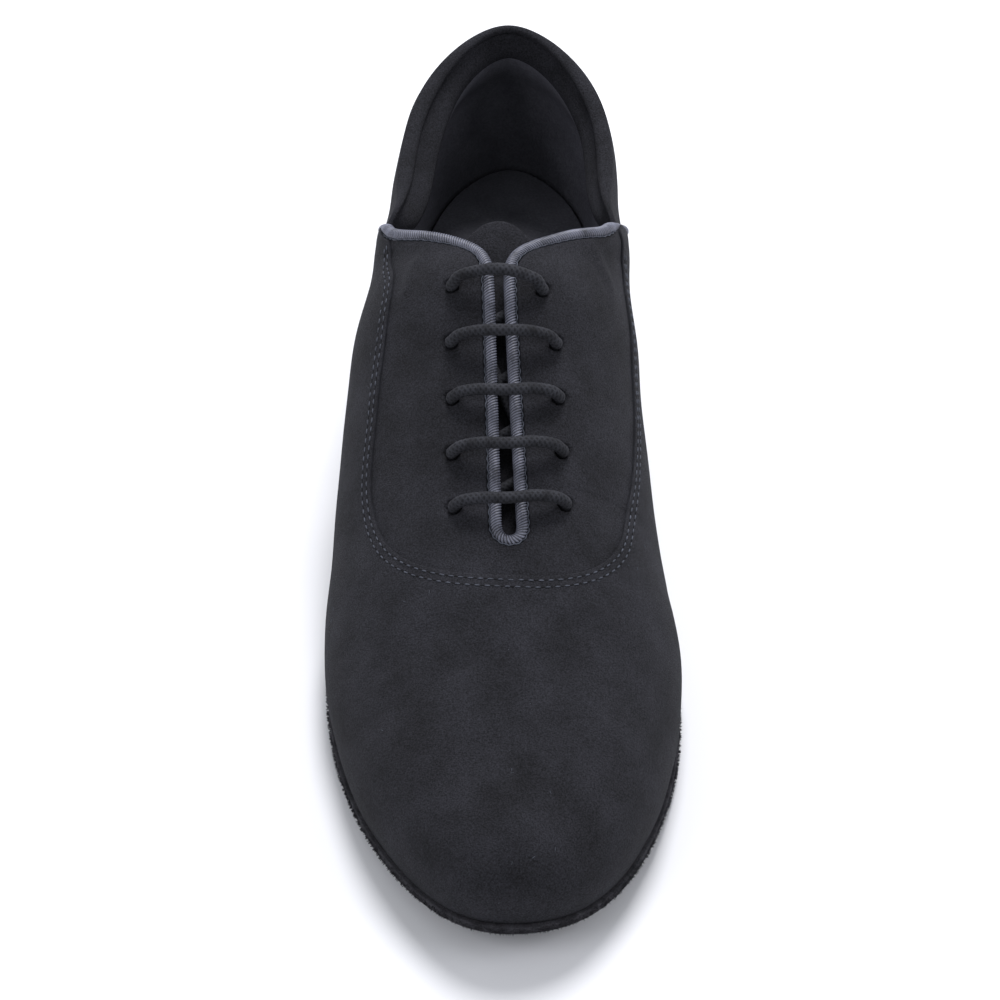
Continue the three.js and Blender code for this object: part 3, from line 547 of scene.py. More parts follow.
# braided cotton lace, dull, with painted shade in the grooves between its strands and lighter
# strand backs
cotton = addCloth("braided cotton", "#0c0c0f", "#36373d", patch=5, fleck=0.2, bump=0.4,
                  roughness=0.85, sheen=0.12, strandShading=1.5)
# spun sewing thread, grey-blue
thread = addCloth("spun sewing thread", "#32353c", "#5c606b", patch=2, fleck=0.2, bump=0.4,
                  roughness=0.7, sheen=0.1)
# needle holes: the shadow in punched suede
needleHoleShade = addCloth("punched suede shadow", "#08080a", "#101013", patch=2, fleck=0.3, bump=0.2,
                      roughness=1.0, sheen=0.0)
# chrome-tanned sole suede, rough and fibrous
soleSuede = addCloth("chrome sole suede", "#1a191c", "#4a494e", patch=4, fleck=0.4, bump=1.0,
                     roughness=1.0, sheen=0.1)
# waxed stacked leather: dark lifts, layered a few millimetres thick
heelLeather = addCloth("waxed stacked leather", "#0d0d0f", "#1b1b1e", patch=8, fleck=1.2, bump=0.2,
                       roughness=0.45, sheen=0.0, stretch=(1, 1, 5), specular=0.5)
print("materials made")

# Lines of the upper: slit, U seam and side seams. Rows are stations, 0 at the toe and 13 at the
# back; heights on the wall are shares, 0 at the sole and 1 at the top; the rest is in mm
upper = {
    "wall": 1.5, "panel": 0.7, "vamp": 0.7, "pad": 3.4, "padOutward": 0.4,
    "padFrom": 9.62, "padTo": 10.42, "padFoot": 0.6, "padFull": 0.9,
    "seamTop": 9.42, "seamFoot": 10.2, "seamMiddle": 9.8, "seamReach": 1.3,
    "groove": 0.75, "grooveAt": 0.8, "grooveWidth": 0.35, "backThin": 0.7, "rim": 1.5,
    "backSeam": 0.45, "backSeamWidth": 0.018, "thinFrom": 11.3, "thinTo": 12.9, "edge": 0.3,
    "holeDepth": 2.2, "holeFoot": 1.7, "holeRim": 2.5, "paddedFrom": 0.02,
}
# how far the collar's padding bulges inward at each station, and how far below the rim it is
# full, starts to fade and ends
bulge = {"rows": [9.7, 10.0, 10.5, 11.2, 12, 13], "outer": [3.5, 6, 7, 6.5, 4.5, 3],
         "inner": [2, 4, 5, 4.4, 3.6, 3], "full": 8, "fade": 12, "end": 30}
layers = upper["panel"] + upper["vamp"]
slit = {"foot": 4.2, "head": 7.95, "footWidth": 11.4, "headWidth": 9.7, "flare": 12, "turn": 58}
# topline of the facings: stations and heights on the wall, from the slit to the side seam, and
# the quarter's rise behind it; blend is how sharply it joins the slit's edge
topline = {
    "rows": [7.6, 8.0, 8.3, 8.5, 8.7, 8.9, 9.1, 9.4, 9.8],
    "outer": [0.985, 0.958, 0.949, 0.934, 0.916, 0.885, 0.862, 0.85, 0.845],
    "inner": [0.985, 0.958, 0.952, 0.944, 0.941, 0.925, 0.905, 0.9, 0.9],
    "quarterFrom": 9.695, "quarterTo": 10.2, "blend": 70, "joinFrom": 7.3,
}
seamU = {
    "outer": 0.38, "inner": 0.352, "foot": 0.7024, "arms": 0.587, "roundness": 2.35, "skew": 0.07,
    "rows": [6, 7, 8, 8.5, 9.0, 9.42],
    "armOuter": [0.54, 0.595, 0.643, 0.675, 0.85, 1],
    "armInner": [0.45, 0.435, 0.465, 0.53, 0.7, 1],
    "joinRows": [4.5, 4.7, 6.3, 7, 8, 8.5, 9.0, 9.42, 9.7], "capFrom": 8.6, "capGap": 0.004,
    "lap": 0.25, "pressed": 0.12, "stitchedTo": 9.02,
}
slitFoot, slitHead = form(slit["foot"], 1.0), form(slit["head"], 1.0)
topSeamY = form(upper["seamTop"], 1.0)[1]


def warped(base, up):
    # stations bent so that the one in the seam's middle follows the side seam from foot to top
    seamAt = upper["seamFoot"] + (upper["seamTop"] - upper["seamFoot"]) * up
    near = 1 - smooth(0, upper["seamReach"], np.abs(np.abs(base) - upper["seamMiddle"]))
    return base + np.sign(base) * (seamAt - upper["seamMiddle"]) * near


def slitMiddle(y):
    share = np.clip((y - slitFoot[1]) / (slitHead[1] - slitFoot[1]), 0, 1)
    return slitFoot[0] + (slitHead[0] - slitFoot[0]) * share


def slitHalf(y):
    # half width of the slit: a round foot, straight edges, then an arc that flares out
    radius, head, above = slit["footWidth"] / 2, slit["headWidth"] / 2, y - slitFoot[1]
    foot = np.sqrt(np.maximum(radius**2 - np.maximum(radius - above, 0) ** 2, 0))
    rest = (above - radius) / (slitHead[1] - slitFoot[1] - radius)
    edge = radius + (head - radius) * np.clip(rest, 0, 1)
    sine = np.clip((y - slitHead[1]) / slit["flare"], 0, np.sin(np.radians(slit["turn"])))
    flared = head + slit["flare"] * (1 - np.sqrt(1 - sine**2))
    half = np.where(above < radius, foot, np.where(y < slitHead[1], edge, flared))
    return np.where(above < 0, -1, half)


def inSlit(points):
    x, y = points[..., 0], points[..., 1]
    return (np.abs(x - slitMiddle(y)) < slitHalf(y)) & (y < topSeamY)


def armLine(side, heights):
    arm = form(side * np.array(seamU["rows"], float), np.array(heights, float))
    return arm[:, 1], arm[:, 2]


armsY = (0.5 - seamU["arms"]) * last["shoeLength"]
armOf = {1: armLine(1, seamU["armOuter"]), -1: armLine(-1, seamU["armInner"])}


def inFacings(points):
    # ahead of the arms a rounded arc in plan, behind them everything above the arm's line
    x, y, z = points[..., 0], points[..., 1], points[..., 2]
    reach = (seamU["foot"] - seamU["arms"]) * last["shoeLength"]
    width = np.where(x > 0, seamU["inner"], seamU["outer"]) * last["ballWidth"]
    down = np.maximum((armsY - y - seamU["skew"] * x) / reach, 0)
    ahead = np.abs(x / width) ** seamU["roundness"] + down ** seamU["roundness"] < 1
    height = np.zeros_like(y)
    for side in (1, -1):
        armY, armZ = armOf[side]
        slope = (armZ[1] - armZ[0]) / (armY[1] - armY[0])
        line = np.where(y < armY[0], armZ[0] + (y - armY[0]) * slope, np.interp(y, armY, armZ))
        height = np.where((x < 0) == (side > 0), line, height)
    return np.where(y < armsY, ahead, z > height)


def limits(base, inside, low):
    # height at which each column enters a region; 1 where it never does
    def within(up):
        return inside(form(warped(base, up), up))

    top = np.ones_like(base)
    return np.where(within(top), halved(within, np.full_like(base, low), top)[1], 1.0)


def bySide(table, base):
    # a table's value at each column, from the outer side's list or the inner side's
    rows = table["rows"]
    at = np.clip(np.abs(base), rows[0], rows[-1])
    return np.where(base > 0, flowing(rows, table["outer"], at), flowing(rows, table["inner"], at))


def topLimits(base):
    # facings: the lower of the slit's edge and the topline, joined round by a soft minimum,
    # the logarithm of a sum of exponentials. Behind the side seam it rises to the quarter's rim
    found = limits(base, inSlit, 0.3)
    station, rows = np.abs(base), topline["rows"]
    cap = bySide(topline, base)
    sharp = topline["blend"]
    blended = -np.log(np.exp(-sharp * found) + np.exp(-sharp * cap)) / sharp
    front = found + (blended - found) * smooth(topline["joinFrom"], rows[0], station)
    rise = smooth(topline["quarterFrom"], topline["quarterTo"], station)
    top = np.where(station > upper["seamMiddle"], cap + (1 - cap) * rise, front)
    return np.where(station <= slit["foot"] + same, 1.0, top)


def padding(row, up):
    back = smooth(upper["padFrom"], upper["padTo"], np.abs(row))
    thin = 1 - upper["backThin"] * smooth(upper["thinFrom"], upper["thinTo"], np.abs(row))
    return upper["pad"] * back * thin * smooth(upper["padFoot"], upper["padFull"], up)


# Soft ridges that show through the facings, and flex creases over the ball: stations and
# heights along each, then height and half width in mm
folds = [
    {"rows": [8.58, 8.18, 7.82, 7.57, 7.3], "ups": [0.903, 0.752, 0.705, 0.68, 0.673],
     "height": 0.5, "half": 1.5},
    {"rows": [-8.78, -8.57, -8.1, -7.7], "ups": [0.93, 0.765, 0.608, 0.573],
     "height": 0.5, "half": 1.6},
    {"rows": [3.1, 3.25, 3.3, 3.35], "ups": [0.45, 0.62, 0.8, 0.97], "height": -0.35, "half": 2.6},
    {"rows": [-3.2, -3.3, -3.3, -3.38], "ups": [0.5, 0.66, 0.82, 0.97], "height": -0.3,
     "half": 2.4},
    {"rows": [4.3, 4.1, 3.9], "ups": [0.25, 0.38, 0.52], "height": -0.3, "half": 2.2},
    {"rows": [-4.6, -4.4, -4.1], "ups": [0.22, 0.34, 0.48], "height": -0.3, "half": 2.2},
    {"rows": [10.6, 10.9, 11.1], "ups": [0.35, 0.5, 0.62], "height": -0.35, "half": 3.0},
    {"rows": [-10.7, -11.0, -11.3], "ups": [0.3, 0.44, 0.58], "height": -0.35, "half": 3.2},
]
waves = {"long": 0.1, "short": 0.07}


def relief(points):
    # each fold is a bell across the distance to its line; slow waves keep the skin from looking
    # turned on a lathe
    x, y, z = points[..., 0], points[..., 1], points[..., 2]
    total = (waves["long"] * np.sin(x / 7 + 1.3) * np.sin(y / 9 + z / 11)
             + waves["short"] * np.sin(y / 4.3 + x / 6))
    for fold in folds:
        rows, ups = np.array(fold["rows"]), np.array(fold["ups"])
        steps = np.arange(len(rows))
        at = np.linspace(0, steps[-1], 24)
        line = form(flowing(steps, rows, at), flowing(steps, ups, at))
        near = np.full(x.shape, 1e9)
        where = np.zeros(x.shape)
        for i, spot in enumerate(line):
            gap = np.sum((points - spot) ** 2, -1)
            where = np.where(gap < near, i / (len(line) - 1), where)
            near = np.minimum(gap, near)
        # the fold rises over its first quarter and sinks over its last
        fade = np.clip(4 * where, 0, 1) * np.clip(4 * (1 - where), 0, 1)
        bell = np.exp(-near / (2 * fold["half"] ** 2))
        total = total + fold["height"] * bell * (0.3 + 0.7 * fade)
    return total


# lace holes: station, and mm from the ridge to the outer and the inner one
holes = [(7.57, 14, 12.4), (6.82, 15, 15.4), (6.13, 15.2, 15.4), (5.43, 15.6, 15.8),
         (4.75, 15.4, 16)]
holeRows, outerReach, innerReach = np.array(holes).T
# the dimples lie a little nearer to the throat than the lace's turns
holeSpots = np.concatenate([across(holeRows, 0.25 - outerReach)[0],
                            across(holeRows, innerReach - 0.25)[0]])


def punched(points):
    # 1 inside a lace hole and 0 outside it
    gap = np.min(np.linalg.norm(points[..., None, :] - holeSpots, axis=-1), -1)
    return 1 - smooth(upper["holeFoot"], upper["holeRim"], gap)


def shareRidge(grid, closed, partner, levels):
    # both sides meet on the ridge, so their points there are the same
    for level in levels:
        grid[closed, level] = (grid[closed, level] + grid[partner, level]) / 2


# Upper body: facings, quarter and lining in one wall
def addUpper():
    # columns from the toe to the back, closer together round the slit's foot, at the side seam
    # and at the back seam, and the same again on the inner side
    foot = slit["foot"]
    half = np.concatenate([
        np.arange(0, 3.96, 0.09), np.arange(3.98, foot - 0.01, 0.04),
        foot + 0.42 * (np.arange(0, 25) / 24) ** 2, np.arange(foot + 0.445, 8.8, 0.026),
        np.arange(8.81, 9.77, 0.04), [9.785, 9.815], np.arange(9.85, 10.6, 0.05),
        np.arange(10.62, 12.88, 0.08), [12.91, 12.94, 12.96, 12.975, 12.985, 12.993, 13.0]])
    base = np.concatenate([half, -half[-2:0:-1]])
    station = np.abs(base)
    limit = topLimits(base)
    back = smooth(upper["padFrom"], upper["padTo"], station)
    size = upper["edge"] + (upper["rim"] - upper["edge"]) * back
    size = size * smooth(foot, foot + 0.5, station)
    edge = form(warped(base, limit), limit)
    # a rib's curve is about a tenth longer than its chord
    length = np.linalg.norm(edge - form(base, 0.0), axis=-1) * 1.1
    skinTop = limit - size / length
    rises = np.concatenate([np.linspace(0, 0.5, 12), np.linspace(0.5, 1, 46)[1:]])
    up = skinTop[:, None] * rises[None]
    row = warped(base[:, None], up)
    points, outward = form(row, up), outwardAt(row, up)
    depth = np.where((station > upper["seamMiddle"])[:, None],
                     upper["padOutward"] * padding(row, up) - layers, -upper["vamp"])
    seam = upper["backSeam"] * np.exp(-(((lastRow - np.abs(row)) / upper["backSeamWidth"]) ** 2))
    lift = depth + relief(points) - upper["holeDepth"] * punched(points) - seam
    outer = points + outward * lift[..., None]
    # inner skin, from the rim down: fine steps in mm first, then even shares
    down = np.array([0, 0.25, 0.5, 0.65, 0.8, 0.95, 1.1, 1.4, 2, 3, 4.5, 6.5, 9, 12])
    fine = skinTop[:, None] - down[None] / length[:, None]
    coarse = fine[:, -1:] * (1 - np.arange(1, 15) / 14)[None]
    innerUp = np.maximum(np.concatenate([fine, coarse], 1), 0)
    innerRow = warped(base[:, None], innerUp)
    below = (skinTop[:, None] - innerUp) * length[:, None]
    innerDepth = (upper["padOutward"] - 1) * padding(innerRow, innerUp) - layers - upper["wall"]
    groove = upper["groove"] * np.exp(-(((below - upper["grooveAt"]) / upper["grooveWidth"]) ** 2))
    innerDepth = innerDepth + groove * back[:, None]
    # the padding fills out inward below the rim and thins out again towards the foot
    swell = smooth(0, bulge["full"], below) * (1 - smooth(bulge["fade"], bulge["end"], below))
    innerDepth = innerDepth - bySide(bulge, base)[:, None] * swell
    inner = form(innerRow, innerUp) + outwardAt(innerRow, innerUp) * innerDepth[..., None]
    # rim: from the outer depth to the inner one, out to the edge line by a power of a sine
    power = (0.5 + 0.5 * back)[:, None]
    angle = np.linspace(0, np.pi, 9)[None, 1:-1]
    middle, spread = (depth[:, -1] + innerDepth[:, 0]) / 2, (depth[:, -1] - innerDepth[:, 0]) / 2
    swing = np.sign(np.cos(angle)) * np.abs(np.cos(angle)) ** power
    reach = (edge - points[:, -1])[:, None] * (np.sin(angle) ** power)[..., None]
    rim = (points[:, -1, None] + reach
           + outward[:, -1, None] * (middle[:, None] + spread[:, None] * swing)[..., None])
    grid = np.concatenate([outer, rim, inner], 1)
    rimFrom, rimTo = outer.shape[1] - 1, outer.shape[1] + rim.shape[1]
    # materials: suede outside and over the padded rim, its cut edge elsewhere, lining inside
    level = np.arange(grid.shape[1] - 1)
    marks = np.tile(np.where(level < rimFrom, 0, np.where(level < rimTo, 1, 2)), (len(base), 1))
    padded = np.maximum(back, np.roll(back, -1)) > upper["paddedFrom"]
    marks[padded, rimFrom:rimTo + len(down) - 2] = 0
    closed = np.where(station <= foot + same)[0]
    partner = np.array([np.argmin(np.abs(base + base[i])) for i in closed])
    shareRidge(grid, closed, partner, range(rimFrom, rimTo + 1))
    index = numbered(grid)
    # no rim where the wall is closed over the ridge
    shut = (station < foot + same) & (np.roll(station, -1) < foot + same)
    keep = ~(shut[:, None] & (level >= rimFrom) & (level < rimTo)).ravel()
    bottom = np.stack([index[:, 0], np.roll(index[:, 0], -1), np.roll(index[:, -1], -1),
                       index[:, -1]], -1)
    faces = np.concatenate([gridFaces(index, wrapRows=True)[keep], bottom])
    marks = np.concatenate([marks.ravel()[keep], np.ones(len(bottom), int)])
    flat, faces, marks = weld(grid.reshape(-1, 3), faces, marks)
    addPiece("upperBody", flat, outwardFaces(flat, faces), [suede, suedeEdge, lining], marks,
             replaces=["upper"], slot="suede")


addUpper()


# Vamp: a second layer of suede that ends at the U seam
def addVamp():
    # columns from one side seam round the toe to the other, closer where the U crosses the ridge
    foot = float(halved(lambda row: inFacings(form(row, 1.0)), 3.0, 4.5, 30)[1])
    half = np.concatenate([
        np.arange(0, foot - 0.14, 0.09), np.arange(foot - 0.1, foot - 0.02, 0.04),
        foot + 0.5 * (np.arange(0, 31) / 30) ** 2, np.arange(foot + 0.54, 9.75, 0.05), [9.785]])
    base = np.concatenate([-half[:0:-1], half])
    station = np.abs(base)
    limit = limits(base, inFacings, 0.2)
    limit[station <= foot + same] = 1.0
    # between the two rules for the edge a cubic curve takes over, and the topline caps its end
    ends = np.array(seamU["joinRows"])
    for side in (1, -1):
        known = np.interp(ends, np.sort(side * base), limit[np.argsort(side * base)])
        there = (side * base > ends[1]) & (side * base < upper["seamTop"])
        limit[there] = flowing(ends, known, side * base[there])
    capped = topLimits(base) - seamU["capGap"]
    limit = np.minimum(limit, np.where(station > seamU["capFrom"], capped, 1.0))
    # rows lie a little closer together towards the edge
    up = limit[:, None] * (1 - (1 - np.linspace(0, 1, 44)) ** 1.2)[None]
    row = warped(base[:, None], up)
    points, outward = form(row, up), outwardAt(row, up)
    lift = relief(points)
    outer = points + outward * lift[..., None]
    outer[:, -1] -= outward[:, -1] * seamU["pressed"]
    inner = points + outward * (lift - upper["vamp"] - seamU["lap"])[..., None]
    closed = np.where(station <= foot + same)[0]
    for skin in (outer, inner):
        shareRidge(skin, closed, len(base) - 1 - closed, [-1])
    grid = np.concatenate([outer, inner[:, ::-1]], 1)
    index = numbered(grid)
    count = outer.shape[1]
    marks = np.zeros((len(base) - 1, grid.shape[1]), int)
    marks[:, [count - 1, -1]] = 1
    # no edge where the two sides meet on the ridge
    shut = (station[:-1] <= foot + same) & (station[1:] <= foot + same)
    keep = ~(shut[:, None] & (np.arange(grid.shape[1]) == count - 1)).ravel()
    strips = [np.stack([column[:count - 1], column[1:count], column[::-1][1:count],
                        column[::-1][:count - 1]], -1) for column in (index[0], index[-1])]
    faces = np.concatenate([gridFaces(index, wrapColumns=True)[keep], strips[0][:, ::-1],
                            strips[1]])
    marks = np.concatenate([marks.ravel()[keep], np.ones(2 * (count - 1), int)])
    flat, faces, marks = weld(grid.reshape(-1, 3), faces, marks)
    addPiece("vampLayer", flat, outwardFaces(flat, faces), [suede, suedeEdge], marks, slot="suede")
    stitched = (station >= foot - same) & (station < seamU["stitchedTo"])
    return {"edge": outer[stitched, -1], "edgeNormals": outward[stitched, -1],
            "skin": outer.reshape(-1, 3), "normals": outward.reshape(-1, 3)}


vamp = addVamp()


# Seam stitches: two rows below the U edge, and between the stitches dark beads painted as the shade
# in the needle holes
stitches = {"offsets": [1.35, 3.35], "pitch": 2.7, "length": 1.5, "width": 0.44, "height": 0.4,
            "lift": 0.08, "hole": (1.3, 0.5, 0.2), "sunk": 0.02}


def throatward(edge, outward, rounds=0):
    # square to an edge line and to outward: into the throat at the line's lowest point
    toward = unit(np.cross(softTangents(edge, rounds), outward))
    return toward * np.sign(toward[np.argmin(edge[:, 1]), 1])


def onSkin(points, skin, normals):
    # each point is dropped on the tangent plane of the nearest skin point, a hundred at a time
    spots, ways = [], []
    for start in range(0, len(points), 100):
        part = points[start:start + 100]
        nearest = np.argmin(((part[:, None] - skin[None]) ** 2).sum(-1), 1)
        normal = normals[nearest]
        rise = ((skin[nearest] - part) * normal).sum(-1, keepdims=True)
        spots.append(part + rise * normal)
        ways.append(normal)
    return np.concatenate(spots), np.concatenate(ways)


def addStitches():
    _, edge, normal = evenly(vamp["edge"], 0.5, vamp["edgeNormals"])
    away = -throatward(edge, normal, 12)
    seams, holeShades = [], []
    for offset in stitches["offsets"]:
        _, line, _ = evenly(edge + away * offset, stitches["pitch"])
        line, out = onSkin(line, vamp["skin"], vamp["normals"])
        along = unit(np.gradient(line, axis=0))
        out = squareTo(along, out)
        seams.append(beads(line + out * stitches["lift"], along, out, stitches["length"],
                           stitches["width"], stitches["height"]))
        # near-black beads a little sunk between the stitches: painted shade of the needle holes
        centre, way = (line[1:] + line[:-1]) / 2, unit(out[1:] + out[:-1])
        holeShades.append(beads(centre - way * stitches["sunk"], unit(along[1:] + along[:-1]), way,
                             *stitches["hole"], rings=3))
    addPiece("seamStitches", *joined(seams), [thread])
    addPiece("needleHoleShades", *joined(holeShades), [needleHoleShade])


addStitches()

# Corded edge, and the fine thread that whips it to the leather
cord = {
    "diameter": 3.4, "clear": 1.9, "step": 0.165, "sides": 34, "threads": 5, "pitch": 0.8,
    "relief": 0.3, "slack": 0.03, "seams": [0.04, 0.16, 0.3, 0.45, 0.6, 0.72], "behind": 1.6,
    "seamDepth": -1.25, "stop": 9.7,
}
binding = {"stop": 9.5, "step": 0.3, "period": 2.6, "in": 0.32, "sway": 0.14, "lift": 0.1,
           "dip": 0.25, "radius": 0.16, "sides": 6}


def facingsEdge(stop, lift, step):
    # the facings' edge from one side seam through the slit's foot to the other, lifted outward
    foot = slit["foot"]
    half = np.concatenate([foot + 0.5 * (np.arange(0, 40) / 40) ** 2,
                           np.arange(foot + 0.5, stop, 0.02)])
    base = np.concatenate([half[::-1], -half[1:]])
    limit = topLimits(base)
    row = warped(base, limit)
    outward = outwardAt(row, limit)
    return evenly(form(row, limit) + outward * lift, step, outward)


def cordPath():
    # the facings' edge moved into the throat by the cord's clearance, then down the side seams
    middle = upper["vamp"] + (upper["panel"] + upper["wall"]) / 2
    _, edge, outward = facingsEdge(cord["stop"], -middle, 0.5)
    # every seventh point is enough for a smooth path
    line = (edge + throatward(edge, outward, 10) * cord["clear"])[::7]
    normals = unit(outward)[::7]
    up = np.array(cord["seams"])
    ends = {}
    for side in (1, -1):
        seamAt = side * (upper["seamFoot"] + (upper["seamTop"] - upper["seamFoot"]) * up)
        around, out, _ = directions(seamAt, up)
        seam = form(seamAt, up) + around * side * cord["behind"] + out * cord["seamDepth"]
        ends[side] = (seam, out)
    points = np.concatenate([ends[1][0], line[1:-1], ends[-1][0][::-1]])
    normals = np.concatenate([ends[1][1], normals[1:-1], ends[-1][1][::-1]])
    return throughPoints(points, cord["step"], unit(normals))


def addCord():
    run, path, normals = cordPath()
    print(f"edge cord {run[-1]:.0f} mm long")
    strandShades = []

    def radius(angle, run):
        # threads wound in parallel: rounded backs with sharp valleys, from the size of a cosine
        turn = angle * cord["threads"] + 2 * np.pi * run / cord["pitch"]
        wave = np.abs(np.cos(turn / 2))
        # the same wave, to a power, is kept as painted shade: dark in the valleys, light on the
        # backs
        strandShades.append((wave**1.5).ravel())
        return cord["diameter"] / 2 - cord["slack"] - cord["relief"] * (1 - wave)

    points, faces, uvs = tube(path, unit(normals), radius, cord["sides"])
    addPiece("edgeCord", points, outwardFaces(points, faces), [whipcord], uvs=uvs,
             replaces=["edge_cord"], slot="whipcord", strandShades=np.concatenate(strandShades + [[0, 0]]))


def addBindingThread():
    # a wave along the facings' edge
    run, edge, outward = facingsEdge(binding["stop"], -upper["vamp"], binding["step"])
    wave = np.sin(2 * np.pi * run / binding["period"])
    path = edge + throatward(edge, outward) * (binding["in"] + binding["sway"] * wave)[:, None]
    rise = binding["lift"] - binding["dip"] * np.maximum(wave, 0)
    path = path + unit(outward) * rise[:, None]
    points, faces, _ = tube(path, unit(outward),
                            lambda angle, run: binding["radius"] + 0 * angle * run,
                            binding["sides"])
    addPiece("bindingThread", points, outwardFaces(points, faces), [thread])


addCord()
addBindingThread()


# Lint: a few short pale fibres caught in the nap
lint = {"count": 90, "length": (0.35, 1.1), "width": 0.16, "lift": 0.05, "above": 18}


def addLint():
    chosen = rng.integers(0, len(vamp["skin"]), lint["count"])
    chosen = chosen[vamp["skin"][chosen][:, 2] > lint["above"]]
    spot, normal = vamp["skin"][chosen], vamp["normals"][chosen]
    along = unit(np.cross(normal, rng.normal(size=spot.shape)))
    parts = []
    for length in lint["length"]:
        pick = rng.random(len(spot)) < 0.5
        parts.append(beads(spot[pick] + normal[pick] * lint["lift"], along[pick], normal[pick],
                           length, lint["width"], lint["width"], rings=3, sides=5))
    addPiece("lint", *joined(parts), [thread])


addLint()

# Lace
lace = {
    "diameter": 3.3, "gap": 0.5, "arches": [5.5, 5.2, 3.6, 4.4, 3.2],
    "bows": [3.4, 3.3, 1.7, 1.6, 0.3], "step": 0.26, "sides": 24,
    "strands": 5, "pitch": 4.4, "relief": 0.24,
}


def lacePaths():
    clear = lace["diameter"] / 2 + lace["gap"]
    proud = cord["diameter"] / 2 - (upper["panel"] + upper["wall"]) / 2
    over = clear - upper["vamp"]
    under = -layers - upper["wall"] - proud - clear
    turn = (over - under) / 2

    def at(row, distance, height):
        point, outward = across(row, distance)
        return point + outward * np.asarray(height, float)[..., None]

    def dip(row, distance):
        # part of a circle through a hole, from the front to the back
        angle = np.radians([50, 20, -20, -50])
        inward = turn * (1 - np.cos(angle))
        return at(np.full(4, row), distance - np.sign(distance) * inward,
                  over - turn + turn * np.sin(angle))

    def behind(start, end, shares):
        t = np.array(shares)
        return at(start[0] + (end[0] - start[0]) * t, start[1] + (end[1] - start[1]) * t,
                  np.full(len(t), under))

    chain, shares = [], [0.18, 0.4, 0.6, 0.82]
    share = np.array([-0.75, -0.4, 0, 0.4, 0.75])
    crown = 1 - np.abs(share) ** 1.5
    for i, (row, outer, inner) in enumerate(holes):
        arch = at(np.full(5, row), share * np.where(share < 0, outer, inner),
                  over + lace["arches"][i] * crown)
        arch[:, 1] += lace["bows"][i] * crown
        chain += [dip(row, -outer)[::-1], arch, dip(row, inner)]
        if i + 1 < len(holes):
            following = holes[i + 1]
            chain.append(behind((row, inner), (following[0], -following[1]), shares))
    # the long run back behind the facings, from the last hole to the first
    start, end = holes[-1], holes[0]
    tail = at(start[0] + np.array([0, 0.12]), start[2] - turn * np.array([1, 2]), np.full(2, under))
    back = behind((start[0], start[2]), (end[0], -end[1]), [0.25, 0.5, 0.75, 0.88])
    return np.concatenate(chain), np.concatenate([tail, back])


def addLace():
    def radius(angle, run):
        # two sets of strands wound against each other: the higher of two helical waves
        turn = 2 * np.pi * run / lace["pitch"]
        wave = np.maximum(np.cos(lace["strands"] * angle + turn * 3),
                          np.cos(lace["strands"] * angle - turn * 3))
        # the same wave is kept as painted shade: dark in the grooves between strands, light on
        # their backs
        strandShades.append(np.clip(0.5 + wave / 2, 0, 1).ravel())
        return lace["diameter"] / 2 - lace["relief"] * (1 - wave) / 2

    parts, uvs, strandShades, length = [], [], [], 0
    for path in lacePaths():
        run, path, _ = throughPoints(path, lace["step"])
        length += run[-1]
        tangent = unit(np.gradient(path, axis=0))
        # a steady direction, nearly lengthwise, made square to the path
        reference = squareTo(tangent, np.tile([0.03, 0.97, 0.2], (len(path), 1)))
        points, faces, spots = tube(path, reference, radius, lace["sides"])
        parts.append((points, faces))
        uvs.append(spots)
        strandShades.append(np.zeros(2))
    points, faces = joined(parts)
    addPiece("laceBraid", points, outwardFaces(points, faces), [cotton], uvs=np.concatenate(uvs),
             replaces=["lace"], slot="lace_braid", strandShades=np.concatenate(strandShades))
    print(f"lace {length:.0f} mm long")


addLace()

# Tongue
tongue = {"thickness": 2, "width": 44, "rise": 18, "pitch": 25.5, "narrowing": 0.14, "bend": 8.05,
          "tip": 36, "foot": 0.45, "rim": 1.2, "squareness": 0.35, "rows": 110, "columns": 40}


def addTongue():
    # it lies under the lace and the cord, then runs straight on above the throat
    room = lace["diameter"] + lace["gap"] + cord["diameter"] / 2
    foot = slit["foot"] - tongue["foot"]
    pitch = np.radians(tongue["pitch"])
    rearward = np.array([0, np.cos(pitch), np.sin(pitch)])
    length = form(tongue["bend"], 1.0)[1] - form(foot, 1.0)[1] + tongue["rise"]
    share = 1 - (1 - np.linspace(0, 1, tongue["rows"])) ** 2
    run = share * length
    straight = np.maximum(run - (length - tongue["rise"]), 0)
    row = foot + (tongue["bend"] - foot) * np.minimum(run / (length - tongue["rise"]), 1)
    # the tip is half an ellipse, cut just short of its point
    tip = np.clip((run - length) / tongue["tip"] + 1, 0, 0.998)
    half = tongue["width"] / 2 * (1 - tongue["narrowing"] * (1 - share)) * np.sqrt(1 - tip**2)
    drop = last["seam"] + room * smooth(foot + 0.3, slit["foot"] + 0.5, row)
    # cross-section: flat sheet with round edges, a circle whose height goes by a low power
    angle = np.linspace(0, 2 * np.pi, 2 * tongue["columns"], endpoint=False)
    lean = np.sign(np.sin(angle)) * np.abs(np.sin(angle)) ** tongue["squareness"]
    point, outward = across(np.repeat(row[:, None], len(angle), 1), half[:, None] * np.cos(angle))
    end = np.clip((run[-1] - run) / tongue["rim"], 0, 1)
    thick = tongue["thickness"] / 2 * np.sqrt(1 - (1 - end) ** 2 * 0.8)
    depth = (-layers - upper["wall"] - drop[:, None] - tongue["thickness"] / 2
             + thick[:, None] * lean[None])
    grid = point + outward * depth[..., None] + straight[:, None, None] * rearward
    points, faces = closedTube(grid, grid[[0, -1]].mean(1))
    addPiece("tongueSheet", points, outwardFaces(points, faces), [suede], replaces=["tongue"],
             slot="suede")
    print(f"tongue {length:.0f} mm long and {tongue['width']} mm wide, laid flat")


addTongue()

